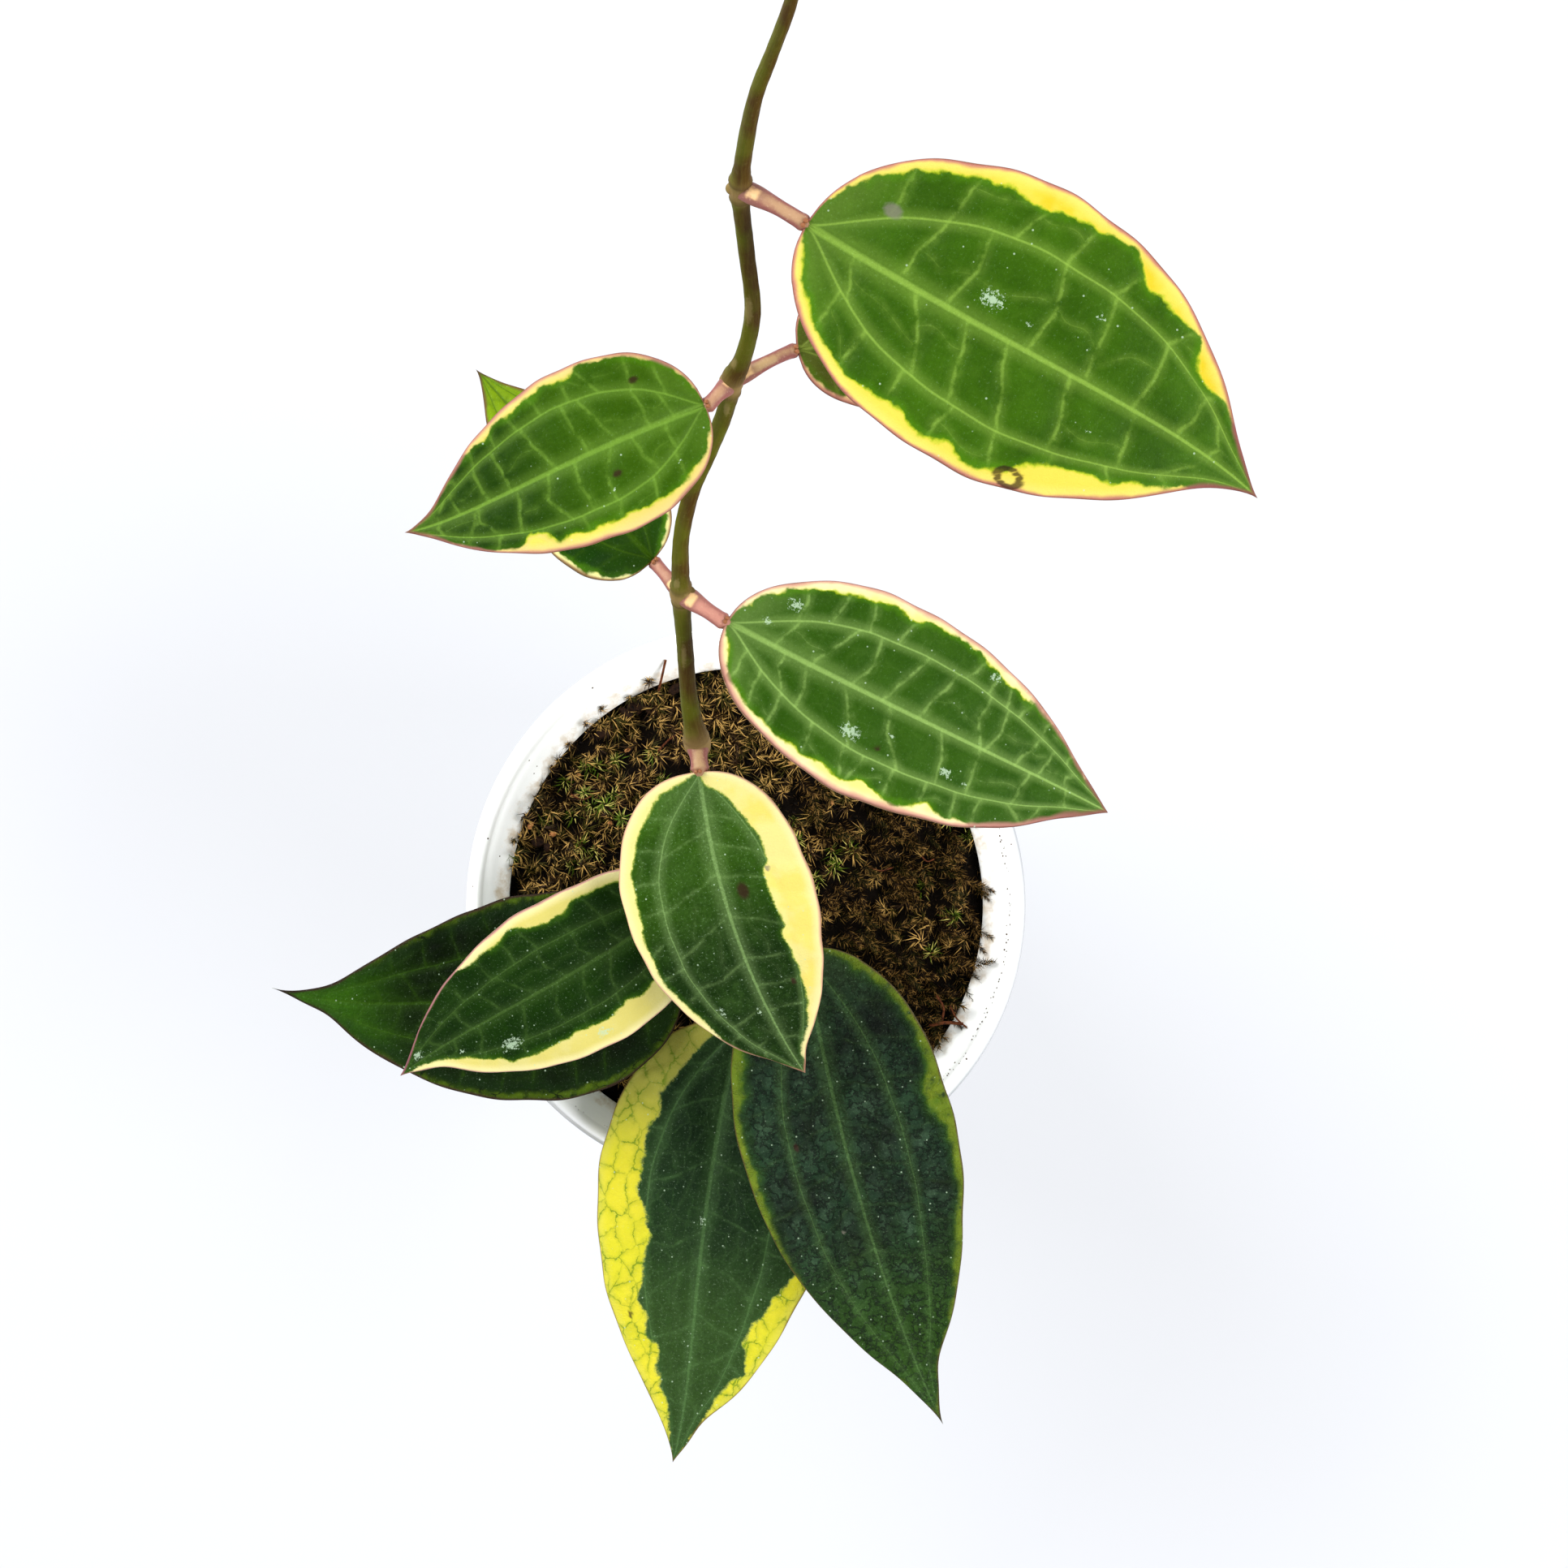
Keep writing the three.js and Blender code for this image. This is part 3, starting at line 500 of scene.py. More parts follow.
# Pale corky scars along the bark: place from above and reach across and along it.
SCARS = [(2.4, 103.2, 0.9, 2.2), (-10.8, 50.2, 0.6, 3.0), (-7.9, 24.8, 0.5, 1.4), (-1.6, 90.0, 0.7, 1.2),
         (-0.2, 96.5, 0.8, 1.0), (-9.6, 60.2, 0.9, 1.3), (-11.6, 62.8, 0.8, 1.1)]


def smooth_line(line, steps):
    """A smooth curve through places of x, y, z and diameter, with so many steps a span."""
    line = np.array(line, float)
    ends = np.vstack([2 * line[0] - line[1], line, 2 * line[-1] - line[-2]])
    out = []
    for before, here, there, after in zip(ends, ends[1:], ends[2:], ends[3:]):
        a, b, c = (math.sqrt(np.linalg.norm(end[:3] - start[:3])) for start, end in
                   ((before, here), (here, there), (there, after)))
        leave = (here - before) / a - (there - before) / (a + b) + (there - here) / b
        arrive = (there - here) / b - (after - here) / (b + c) + (after - there) / c
        for s in np.arange(steps) / steps:
            spot = (2 * s**3 - 3 * s**2 + 1) * here + (3 * s**2 - 2 * s**3) * there
            spot += b * ((s**3 - 2 * s**2 + s) * leave + (s**3 - s**2) * arrive)
            spot[3] = here[3] + (there[3] - here[3]) * s
            out.append(spot)
    return np.array(out + [line[-1]])


def sheet_of(columns, rows):
    """A flat primitive sheet, and the column and row of each of its points."""
    bpy.ops.object.select_all(action="DESELECT")
    bpy.ops.mesh.primitive_grid_add(x_subdivisions=columns, y_subdivisions=rows, size=2, location=(0, 0, 0))
    obj = bpy.context.object
    flat = np.empty(len(obj.data.vertices) * 3)
    obj.data.vertices.foreach_get("co", flat)
    flat = flat.reshape(-1, 3)
    column = np.rint((flat[:, 0] + 1) / 2 * columns).astype(int)
    row = np.rint((flat[:, 1] + 1) / 2 * rows).astype(int)
    return obj, column, row


def swept_tube(curve, sides, flatten=1.0):
    """Rolls a sheet round a curve of x, y, z and diameter, and closes its seam and ends."""
    rows = len(curve) + 1
    obj, column, row = sheet_of(sides, rows)
    middle = np.vstack([curve[0], curve, curve[-1]])
    middle[0, 3] = middle[-1, 3] = 0
    along = np.gradient(curve[:, :3], axis=0)
    along /= np.linalg.norm(along, axis=1)[:, None]
    across = np.cross(along[0], (0.3, 0.2, 0.9))
    frames = []
    for direction in along:
        across = across - direction * np.dot(across, direction)
        across /= np.linalg.norm(across)
        frames.append((across, np.cross(direction, across)))
    frames = np.array([frames[0]] + frames + [frames[-1]])
    angle = 2 * np.pi * (column % sides) / sides
    radius = middle[row, 3] / 2
    places = middle[row, :3] + (radius * np.cos(angle))[:, None] * frames[row, 0]
    places += (radius * flatten * np.sin(angle))[:, None] * frames[row, 1]
    obj.data.vertices.foreach_set("co", (places * MM).ravel())
    run = np.concatenate([[0], np.cumsum(np.linalg.norm(np.diff(middle[:, :3], axis=0), axis=1))])
    sheet = obj.data.uv_layers[0]
    sheet.name = "bark_mm"
    points = np.empty(len(sheet.data) * 2)
    sheet.data.foreach_get("uv", points)
    points = points.reshape(-1, 2)
    points[:, 1] = np.interp(points[:, 1] * rows, np.arange(rows + 1), run)
    points[:, 0] *= 10
    sheet.data.foreach_set("uv", points.ravel())
    only(obj)
    bpy.ops.object.mode_set(mode="EDIT")
    bpy.ops.mesh.select_all(action="SELECT")
    bpy.ops.mesh.remove_doubles(threshold=2e-6)
    bpy.ops.mesh.normals_make_consistent(inside=False)
    bpy.ops.object.mode_set(mode="OBJECT")
    bpy.ops.object.shade_smooth()
    return obj


def point_places(obj):
    """The places of an object's points, in millimetres."""
    places = np.empty(len(obj.data.vertices) * 3)
    obj.data.vertices.foreach_get("co", places)
    return places.reshape(-1, 3) / MM


def write_points(obj, name, values):
    """Gives each point of an object a number that its material reads."""
    obj.data.attributes.new(name, "FLOAT", "POINT").data.foreach_set("value", np.asarray(values, float))


def bell(off, reach):
    """One where off is nought, and softly less on both sides, to almost nought at twice the reach."""
    return np.exp(-((off / reach) ** 2))


curve = smooth_line(STEM_LINE, STEM_STEPS)
for joint in JOINTS.values():
    away = np.linalg.norm(curve[:, :3] - joint, axis=1)
    curve[:, 3] += 0.34 * bell(away - 2.3, 0.5)
curve[:, 3] *= 1 + 0.02 * np.sin(np.arange(len(curve)) * 0.7) + 0.015 * np.sin(np.arange(len(curve)) * 2.3)
stem = swept_tube(curve, STEM_SIDES)
stem_parts = [stem]
for joint, toward, size, out in BUDS:
    outward = Vector(toward).normalized()
    bpy.ops.object.select_all(action="DESELECT")
    bpy.ops.mesh.primitive_uv_sphere_add(
        segments=20, ring_count=14, radius=size * MM,
        location=[(j + out * o) * MM for j, o in zip(JOINTS[joint], outward)])
    bud = bpy.context.object
    bud.rotation_euler = outward.to_track_quat("Z", "Y").to_euler()
    bud.scale = (0.95, 0.8, 1.05)
    apply_place(bud)
    bpy.ops.object.shade_smooth()
    bud.data.uv_layers[0].name = "bark_mm"
    stem_parts.append(bud)
join(stem_parts)
places = point_places(stem)
joint_near = np.min([np.linalg.norm(places - joint, axis=1) for joint in JOINTS.values()], axis=0)
near = np.linalg.norm(places[:, None] - curve[None, :, :3], axis=2).argmin(axis=1)
# How far each point lies right of the stem's middle, by which the bark is painted browner on the right as
# painted shade.
write_points(stem, "side", (places[:, 0] - curve[near, 0]) / curve[near, 3] * 2)
old_near = np.linalg.norm(places - JOINTS["third"], axis=1)
bark_radius = curve[near, 3] / 2
axial, old_axial = (np.sqrt(np.maximum(away**2 - bark_radius**2, 0)) for away in (joint_near, old_near))
write_points(stem, "joint", bell(axial, 2.4) + 0.8 * bell(old_axial, 4.2))
write_points(stem, "ring", bell(axial - 2.1, 0.35) + 0.8 * bell(old_axial - 3.4, 0.3))
scarred = [np.exp(-((places[:, 0] - x) / across) ** 2 - ((places[:, 1] - y) / along) ** 2)
           for x, y, across, along in SCARS]
write_points(stem, "scar", np.max(scarred, axis=0))

# The bark is satin, olive over brown, browner toward the right side as painted shade, with fine
# lengthwise lines, grey dust and small corky flecks. Round the joints it turns tan, and a dark ring
# marks each old scale.
bark, add = new_material("young_olive_bark")
sheet = add("UVMap bark_mm")
in_mm = add("VectorMath SCALE", add("TexCoord").outputs["Object"], 1000)
lines = add("TexNoise", add("VectorMath MULTIPLY", sheet, (2.2, 0.16, 1)), 1.0, 5, 0.65)
dust = add("TexNoise", in_mm, 1.3, 5, 0.8)
knot, ring, side, scar = (
    add("Attribute " + field).outputs["Fac"] for field in ("joint", "ring", "side", "scar"))
# Brown patches, shifted toward the right side of the stem as painted shade.
brown_and_shade_sum = add("Math MULTIPLY_ADD", side, 0.13, add("TexNoise", in_mm, 0.11, 3))
scar_sum = add("Math MULTIPLY_ADD", dust, 0.9, scar)
colour = linear("#4d4f0a")
for share, over in (
        (add("MapRange", brown_and_shade_sum, 0.4, 0.62), "#402c0a"),
        (add("MapRange", lines, 0.45, 0.75, 0.0, 0.45), "#61561f"),
        (add("Math MULTIPLY", knot, 0.9), "#826a41"),
        (add("Math MULTIPLY", ring, 0.55), "#3a2818"),
        (add("MapRange SMOOTHSTEP", scar_sum, 0.8, 1.3, 0.0, 0.3), "#a08a5e"),
        (add("MapRange", dust, 0.58, 0.75, 0.0, 0.35), "#8a7c54")):
    colour = add("Mix RGBA", share, colour, linear(over))
relief = add("Bump", {"Strength": 0.45, "Distance": 0.0004, "Height": lines})
add("OutputMaterial", add("BsdfPrincipled", {
    "Base Color": colour, "Roughness": 0.55, "Specular IOR Level": 0.05, "Normal": relief}))
stem.data.materials.clear()
stem.data.materials.append(bark)
finish_piece(stem, "climbing_stem", "green_bark", "vine_stem")

# Litter: crumbs of bark, reddish grit and thin dead roots that came with the mix. They lie on
# the moss and against the wall, where watering has washed them together.
FLAKES = [
    (-26, 41.3, 4.2), (-22.5, 43.1, 4.6), (-18.6, 44.4, 4), (-28.6, 38.7, 3.8), (-31.4, 36.6, 3.4),
    (-15.5, 46.4, 3.6), (-24.5, 42.6, 3.2), (-20.4, 42.2, 2.6), (-44.5, 13.6, 3.8), (-46.9, 18.1, 3.4),
    (-42.8, 12.2, 2.4), (-30, 20, 3), (44.6, -22.4, 3), (38, -30, 3.2), (-12.6, 45.6, 2.8), (6, 47.2, 2.6),
]
GRAINS = [
    (-25.5, 33.3, 1.5), (-41.5, 15.2, 2.1), (-46.4, 17.0, 1.8), (-29.1, 17.6, 1.3), (22, 14.5, 1.4),
    (9.4, 30.6, 1.1), (-36, 28, 1), (18.5, 22, 1.2),
]
ROOTS = [
    ((-17.2, 52.6, 103.6), (-17.9, 49.6, 102.8), (-18.8, 46, 101.6), 0.55),
    ((-18.9, 33, 102.6), (-16.6, 35.4, 103.4), (-13.9, 37.2, 102.9), 0.4),
    ((26.3, 8.2, 102.9), (28.9, 7.4, 103.4), (31.6, 8.1, 102.7), 0.3),
    ((37.6, 10.6, 102.4), (38.9, 9.4, 103), (40.4, 9.9, 102.4), 0.3),
    ((39.4, -25.9, 101.8), (42.8, -25.2, 102.8), (46.6, -25.5, 102.4), 0.7),
    ((40.9, -19.4, 101.8), (42.4, -22, 102.8), (42.1, -24.8, 102.3), 0.5),
    ((43.8, -21.6, 101.9), (45.2, -24.3, 102.7), (47.4, -26.3, 102.6), 0.4),
    ((13.8, 40.6, 102.3), (15.4, 43.3, 103), (15.9, 46.6, 102.2), 0.35),
    ((-37.6, 23.8, 102), (-35.2, 22.6, 102.8), (-33.2, 23.4, 102.1), 0.3),
]
ROOT_STEPS = 5
ROOT_SIDES = 8
CRUMB_TILT = 0.5


def crumb(size, flatness):
    """One angular crumb with its own knocks, in millimetres."""
    bpy.ops.object.select_all(action="DESELECT")
    bpy.ops.mesh.primitive_ico_sphere_add(subdivisions=2, radius=size / 2 * MM, location=(0, 0, 0))
    piece = bpy.context.object
    for corner in piece.data.vertices:
        corner.co *= random.uniform(0.72, 1.15)
    piece.scale = (1, random.uniform(0.5, 0.8), flatness)
    piece.rotation_euler = (
        random.uniform(-CRUMB_TILT, CRUMB_TILT), random.uniform(-CRUMB_TILT, CRUMB_TILT),
        random.uniform(0, FULL_TURN))
    return piece


def lay_crumbs(name, places, flatness, height, material):
    """Lays a crumb of its own size at each place on the moss, as one piece."""
    pieces = []
    for x, y, size in places:
        piece = crumb(size, flatness)
        piece.location = (x * MM, y * MM, (MOSS_LEVEL + moss_swell(x, y) + height) * MM)
        piece.data.materials.append(material)
        pieces.append(piece)
    joined = join(pieces)
    apply_place(joined)
    finish_piece(joined, name, "potting_mix")


# Bark crumbs are nearly black and matt, the grit is orange brown with a paler crust, and the
# roots are dull reddish brown.
def crumb_material(name, low, high, roughness):
    material, add = new_material(name)
    in_mm = add("VectorMath SCALE", add("TexCoord").outputs["Object"], 1000)
    crust = add("TexNoise", in_mm, 1.3, 4, 0.7)
    coloured = add("Mix RGBA", add("MapRange", crust, 0.35, 0.65), linear(low), linear(high))
    relief = add("Bump", {"Strength": 0.8, "Distance": 0.0004, "Height": crust})
    add("OutputMaterial", add("BsdfPrincipled", {
        "Base Color": coloured, "Roughness": roughness, "Specular IOR Level": 0.08, "Normal": relief}))
    return material


dark_bark = crumb_material("dark_bark_crumbs", "#080504", "#2c1a0f", 0.8)
lay_crumbs("bark_crumbs", FLAKES, 0.45, 1.7, dark_bark)
orange_grit = crumb_material("orange_brown_grit", "#7a4320", "#c08a54", 0.7)
lay_crumbs("grit_grains", GRAINS, 0.8, 2.2, orange_grit)
root_skin = crumb_material("dead_root_bark", "#2c130a", "#6a3a20", 0.75)
roots = []
for *line, thick in ROOTS:
    root = swept_tube(smooth_line([(*place, thick) for place in line], ROOT_STEPS), ROOT_SIDES)
    root.data.materials.append(root_skin)
    roots.append(root)
finish_piece(join(roots), "dead_roots", "potting_mix")

# Leaves: ten leathery blades, each grown in one piece with its short stalk. Three main
# veins run from base to tip, and the skin between is raised in soft quilts.
SPINE_STEPS = 80
LANE_COLUMNS = 16
ROWS_PER_MM = 1.5
FOLD = math.radians(5)
ARCH = 1.3
TIP_CURL = -8
VEIN_SPREAD = 0.12
QUILT_RISE = 0.5
EDGE_WAVES = 2.5
BODY = 1.2
EDGE = 0.8
KEEL = 1.3
ROUND_EDGE = 0.36
PUFFED_CELLS = 75
SHAPE_NAMES = ("base length width heading turn hook rise droop tilt lopsided widest blunt_base blunt_tip "
               "veins wave phase nip_left nip_right nip_at").split()
# Base, length, width; heading, turn, hook; rise, droop, tilt; outline; veins; waves; and how
# much narrower the left and right half are just before the drawn-out tip, and where.
SHAPES = {
    "leaf_1": ((11.5, 111.8, 318), 83.6, 45.4, -27.5, 11.5, -19, 11.5, -30, 5.5, 0.06,
               0.41, 0.61, 0.72, 0.62, 0.5, 0.4, 0.08, 0.1, 0.9),
    "leaf_2": ((-5, 90, 263), 58.6, 30, 206, 7.5, -25, 17, -45, 1, -0.01,
               0.34, 0.69, 0.62, 0.65, 0.3, 2, 0.1, 0.12, 0.9),
    "leaf_3": ((10.4, 99.9, 259), 51.2, 26.6, 12, 2, 0, 0.5, -25, 0.5, 0,
               0.37, 0.58, 0.36, 0.5, 0.3, 1, 0.1, 0.1, 0.9),
    "leaf_4": ((-16.1, 67.6, 203), 50.8, 25, 133, -2, -1.5, 17.5, -40, 10.5, 0.04,
               0.31, 0.7, 0.62, 0.5, 0.3, 4, 0.0, 0.1, 0.88),
    "leaf_5": ((-2.5, 56.1, 206), 83.4, 39.2, -25.5, 4.5, -4, 2.5, -25, -15.5, 0.01,
               0.39, 0.64, 0.42, 0.6, 0.5, 3.1, 0.05, 0.08, 0.88),
    "leaf_6": ((-8.4, 28.4, 169), 71, 38.4, -70.5, 26.5, 0, -3, -32, 11, -0.06,
               0.36, 0.6, 0.5, 0.65, 0.4, 5.2, 0.2, 0.12, 0.91),
    "leaf_7": ((-7.7, 5.7, 149), 76.8, 34.8, 209, -16, 20, -0.5, -18, -19.5, 0.03,
               0.41, 0.61, 0.62, 0.5, 0.4, 0.9, 0.26, 0.0, 0.89),
    "leaf_8": ((-13.6, -12, 117), 88.6, 43.8, 185.5, -16.5, -13.5, 7, -16, -0.5, 0.05,
               0.32, 0.8, 0.94, 0.5, 0.6, 2.6, 0.26, 0.12, 0.86),
    "leaf_9": ((-1, -24.4, 115), 97.6, 49.8, -96, 15, -17, 2.5, -15, 4, 0.05,
               0.35, 0.68, 0.5, 0.56, 0.5, 3.7, 0.24, 0.04, 0.9),
    "leaf_10": ((12.2, -7.7, 135), 106.8, 44.8, -74, 13.5, 2, 2, -16, 5.5, 0.04,
                0.36, 0.69, 0.72, 0.55, 0.9, 4.4, 0.2, 0.1, 0.87),
}
# Joint, thickness at the joint and at the blade, how far the stalk arches up, and how olive it is.
STALKS = {
    "leaf_1": ("sixth", 3.2, 2.6, 1.5, 0.7), "leaf_2": ("fifth", 3.0, 2.6, 0.5, 0.6),
    "leaf_3": ("fifth", 2.7, 2.4, 2.5, 0.9), "leaf_4": ("fourth", 2.9, 2.5, 0.3, 0.4),
    "leaf_5": ("fourth", 3.7, 3.0, 0.5, 0.1), "leaf_6": ("third", 3.9, 3.5, 0.4, 0.8),
    "leaf_7": ("second", 3.6, 3.1, 2.5, 0.5), "leaf_8": ("first", 3.8, 3.3, 0.8, 0.5),
    "leaf_9": ("lowest", 3.9, 3.4, 1.0, 0.5), "leaf_10": ("second", 3.9, 3.4, 1.8, 0.5),
}
# Where the cross veins run: where each one starts, passes the middle and ends, in hundredths of
# the blade's length. Lanes run from the midrib or side vein outward; a semicolon parts them.
LISTED_LANES = ("inner_left", "inner_right", "outer_left", "outer_right")
CROSS_VEINS = {
    "leaf_1": """
        20 21 23, 30 32 31, 47 48 46, 59 58 57, 69 70 69, 79 80 80, 86 87 84;
        11 12 14, 24 28 31, 35 37 39, 43 46 49, 56 58 59, 70 71 72, 86 86 80;
        13 13 13, 23 24 25, 35 38 41, 46 47 49, 56 59 61, 69 71 74, 80 82 86;
        12 12 11, 20 19 19, 29 29 31, 40 39 38, 49 50 52, 60 61 63, 70 72 75, 80 82 86""",
    "leaf_2": """
        13 14 13, 24 23 20, 30 35 35, 42 43 42, 50 53 49, 60 62 64, 73 74 70, 74 76 78, 86 87 86;
        10 11 12, 18 18 19, 28 31 34, 37 38 39, 47 50 52, 62 62 63, 69 70 70, 79 80 80, 87 87 82;
        14 14 15, 23 24 26, 34 36 38, 46 46 46, 58 60 62, 70 71 73, 78 80 83;
        10 10 10, 18 18 17, 27 30 33, 36 36 37, 45 46 47, 53 54 55, 61 61 62, 69 69 70, 77 78 80""",
    "leaf_5": """
        12 13 15, 21 24 28, 31 34 33, 39 42 45, 48 50 53, 64 61 62, 65 67 67, 73 75 77, 79 80 81,
        86 86 88;
        15 15 18, 20 22 22, 30 33 36, 41 43 48, 54 56 57, 64 64 64, 77 76 75, 87 87 88;
        14 14 13, 21 22 23, 30 29 28, 37 38 44, 55 57 60, 61 62 64, 66 66 65, 70 71 73, 77 77 78,
        85 85 86;
        7 7 6, 12 12 13, 18 18 18, 27 27 28, 35 36 38, 40 39 37, 47 47 47, 55 55 57, 62 62 63, 68 67 68,
        74 77 79, 82 81 80""",
    "leaf_6": """
        12 13 15, 20 22 25, 30 31 33, 42 44 49, 55 56 57, 64 65 66, 73 73 74, 83 84 86;
        16 19 22, 29 33 37, 41 46 50, 56 59 60, 71 73 74, 82 82 83;
        15 16 17, 27 28 30, 38 39 41, 50 52 54, 62 63 65, 74 75 77, 85 86 88;
        12 11 10, 20 19 18, 28 28 29, 36 36 37, 44 46 48, 53 54 55, 61 62 64, 69 70 71, 77 78 80,
        86 87 89""",
    "leaf_7": """
        12 13 14, 21 23 24, 30 34 35, 39 42 43, 47 51 51, 58 60 63, 72 73 76, 80 81 84, 90 91 91;
        10 12 14, 17 19 21, 26 28 27, 34 37 36, 44 47 47, 53 57 60, 64 65 67, 74 75 75, 84 85 86""",
    "leaf_9": """
        10 12 14, 20 22 25, 30 33 36, 41 44 46, 53 55 60, 64 67 69, 76 75 71, 83 85 88;
        8 10 12, 16 18 21, 30 34 37, 46 50 49, 52 57 62, 67 69 71, 77 79 80, 85 85 84""",
}
# Where the coloured margin begins, on the left and the right half: pairs of how far along
# the blade and how far out, in hundredths. Over 100 there is no margin.
MARGINS = {
    "leaf_1": """
        0 70, 5 84, 10 86, 20 88, 30 88, 35 82, 40 85, 45 88, 50 92, 55 95, 60 82, 70 84, 73 91, 77 68,
        79 70, 82 84, 86 92, 90 103, 100 110;
        0 50, 3 60, 5 75, 10 85, 20 88, 25 85, 30 82, 35 86, 40 90, 42 86, 47 90, 52 86, 55 82, 60 70,
        65 72, 70 75, 75 75, 80 82, 85 85, 87 93, 90 103, 100 110""",
    "leaf_2": """
        0 60, 5 80, 10 86, 20 84, 25 80, 30 83, 40 80, 45 85, 50 83, 55 88, 58 72, 62 70, 65 85, 70 92,
        78 104, 100 110;
        0 80, 6 94, 30 94, 33 87, 40 90, 55 88, 65 88, 70 92, 74 104, 100 110""",
    "leaf_3": """
        0 80, 10 96, 30 97, 60 98, 80 104, 100 110;
        0 80, 10 95, 30 94, 50 96, 70 103, 100 110""",
    "leaf_4": """
        0 70, 8 92, 28 92, 32 97, 50 103, 100 110;
        0 70, 8 86, 25 86, 40 92, 60 103, 100 110""",
    "leaf_5": """
        0 40, 2 60, 5 82, 10 86, 30 87, 40 86, 45 90, 50 93, 55 92, 58 84, 62 88, 70 84, 73 95, 80 97,
        88 90, 90 80, 92 103, 100 110;
        0 50, 3 60, 6 93, 10 88, 30 86, 38 86, 42 82, 46 88, 50 93, 54 87, 56 83, 60 90, 65 95, 68 104,
        100 110""",
    "leaf_6": """
        0 -5, 2 0, 4 10, 6 30, 10 42, 15 52, 20 57, 28 60, 30 52, 35 50, 40 52, 48 57, 50 52, 55 57,
        60 62, 70 70, 80 74, 85 73, 90 66, 93 80, 95 103, 100 110;
        0 20, 2 40, 5 68, 10 75, 15 80, 20 83, 25 86, 30 83, 40 87, 50 92, 60 90, 70 88, 75 92, 80 103,
        100 110""",
    "leaf_7": """
        0 40, 10 55, 25 63, 30 66, 35 62, 40 68, 50 65, 60 70, 65 75, 70 75, 72 68, 76 62, 80 50, 83 55,
        88 52, 92 45, 95 60, 100 103;
        0 60, 10 78, 20 82, 30 85, 35 74, 40 75, 45 78, 47 85, 50 88, 55 84, 60 88, 65 92, 70 103,
        100 110""",
    "leaf_8": """
        0 80, 10 88, 40 90, 60 92, 100 96;
        0 80, 10 90, 40 92, 70 90, 100 95""",
    "leaf_9": """
        0 60, 20 80, 45 86, 52 87, 55 80, 58 75, 62 70, 65 63, 70 63, 73 75, 76 85, 80 65, 85 72, 88 85,
        91 103, 100 110;
        0 30, 3 42, 10 50, 15 57, 18 63, 22 57, 27 65, 33 60, 38 62, 42 56, 48 50, 55 55, 60 60, 63 63,
        66 58, 70 62, 72 48, 75 50, 78 58, 82 62, 84 48, 88 55, 92 75, 95 90, 98 103, 100 110""",
    "leaf_10": """
        0 60, 5 74, 10 88, 20 92, 27 88, 32 78, 36 80, 40 90, 50 92, 55 95, 60 90, 65 89, 70 94, 80 97,
        100 100;
        0 80, 20 82, 25 85, 30 93, 37 90, 40 86, 45 90, 50 92, 60 97, 70 103, 100 110""",
}
# Scratches and spots: how far along and across in hundredths, size in mm, and kind.
BLOTS = {
    "leaf_1": "37 18 2.6 pale, 45 16 0.9 pale, 56 44 1.1 pale, 64 -35 0.6 pale, 13 48 1.9 grey, "
              "55 -91 1.7 ring",
    "leaf_2": "32 34 0.9 dark, 17 -62 0.9 dark, 14 60 0.6 pale, 35 50 0.6 pale",
    "leaf_5": "12 62 2.0 pale, 8 30 1.3 pale, 35 -43 2.6 pale, 58 -43 1.6 pale, 61 80 1.5 pale, "
              "63 -49 0.9 pale, 43 -68 0.6 pale, 42 -46 0.7 dark, 44 -29 0.8 pale",
    "leaf_6": "35 23 1.8 dark, 72 -13 1.0 pale, 68 -58 1.2 pale, 66 54 0.8 dark, 30 57 0.9 grey",
    "leaf_7": "67 48 2.7 pale, 44 80 2.0 pale, 80 35 0.9 pale, 91 -40 1.6 pale",
    "leaf_9": "66 -78 0.8 dark, 44 -2 1.3 pale",
    "leaf_10": "37 -46 0.9 dark, 55 -26 0.7 grey",
}


def outline_share(leaf, along):
    """Half the width at a place along the blade, as a share of its greatest half width."""
    arc = np.sin(np.pi * np.clip(along, 0, 1) ** (math.log(0.5) / math.log(leaf["widest"])))
    return np.maximum(arc, 0) ** (leaf["blunt_base"] + leaf["blunt_tip"] * along**3)


def side_vein(leaf, along):
    """How far out the side veins run, as a share of the half width."""
    return leaf["veins"] * (1 - np.exp(-along / VEIN_SPREAD))


def blade_frame(leaf, along):
    """Directions toward the tip, the left edge and out of the upper face, at places along the midrib."""
    heading = np.radians(leaf["heading"] + leaf["turn"] * (along - 0.5) + leaf["hook"] * along**5)
    pitch = np.radians(leaf["rise"] + leaf["droop"] * along + TIP_CURL * along**4)
    tilt = math.radians(leaf["tilt"])
    level = np.stack([-np.sin(heading), np.cos(heading), 0 * heading], -1)
    flat = np.cos(pitch)
    forward = np.stack([flat * np.cos(heading), flat * np.sin(heading), np.sin(pitch)], -1)
    above = np.cross(forward, level)
    cos, sin = math.cos(tilt), math.sin(tilt)
    return forward, level * cos + above * sin, above * cos - level * sin


def midrib_places(leaf, along):
    """The midrib's places, found by walking from the base in short steps."""
    forward = blade_frame(leaf, (np.arange(SPINE_STEPS) + 0.5) / SPINE_STEPS)[0]
    walk = np.vstack([np.zeros(3), np.cumsum(forward, axis=0)])
    walk = walk * leaf["length"] / SPINE_STEPS + leaf["base"]
    steps = np.arange(SPINE_STEPS + 1) / SPINE_STEPS
    return np.stack([np.interp(along, steps, walk[:, axis]) for axis in range(3)], -1)


def numbers(text, size):
    """Lists of numbers from a text such as "12 14 15, 22 24 27", as shares of one."""
    return np.array([[float(word) for word in group.split()][:size] for group in text.split(",")]) / 100


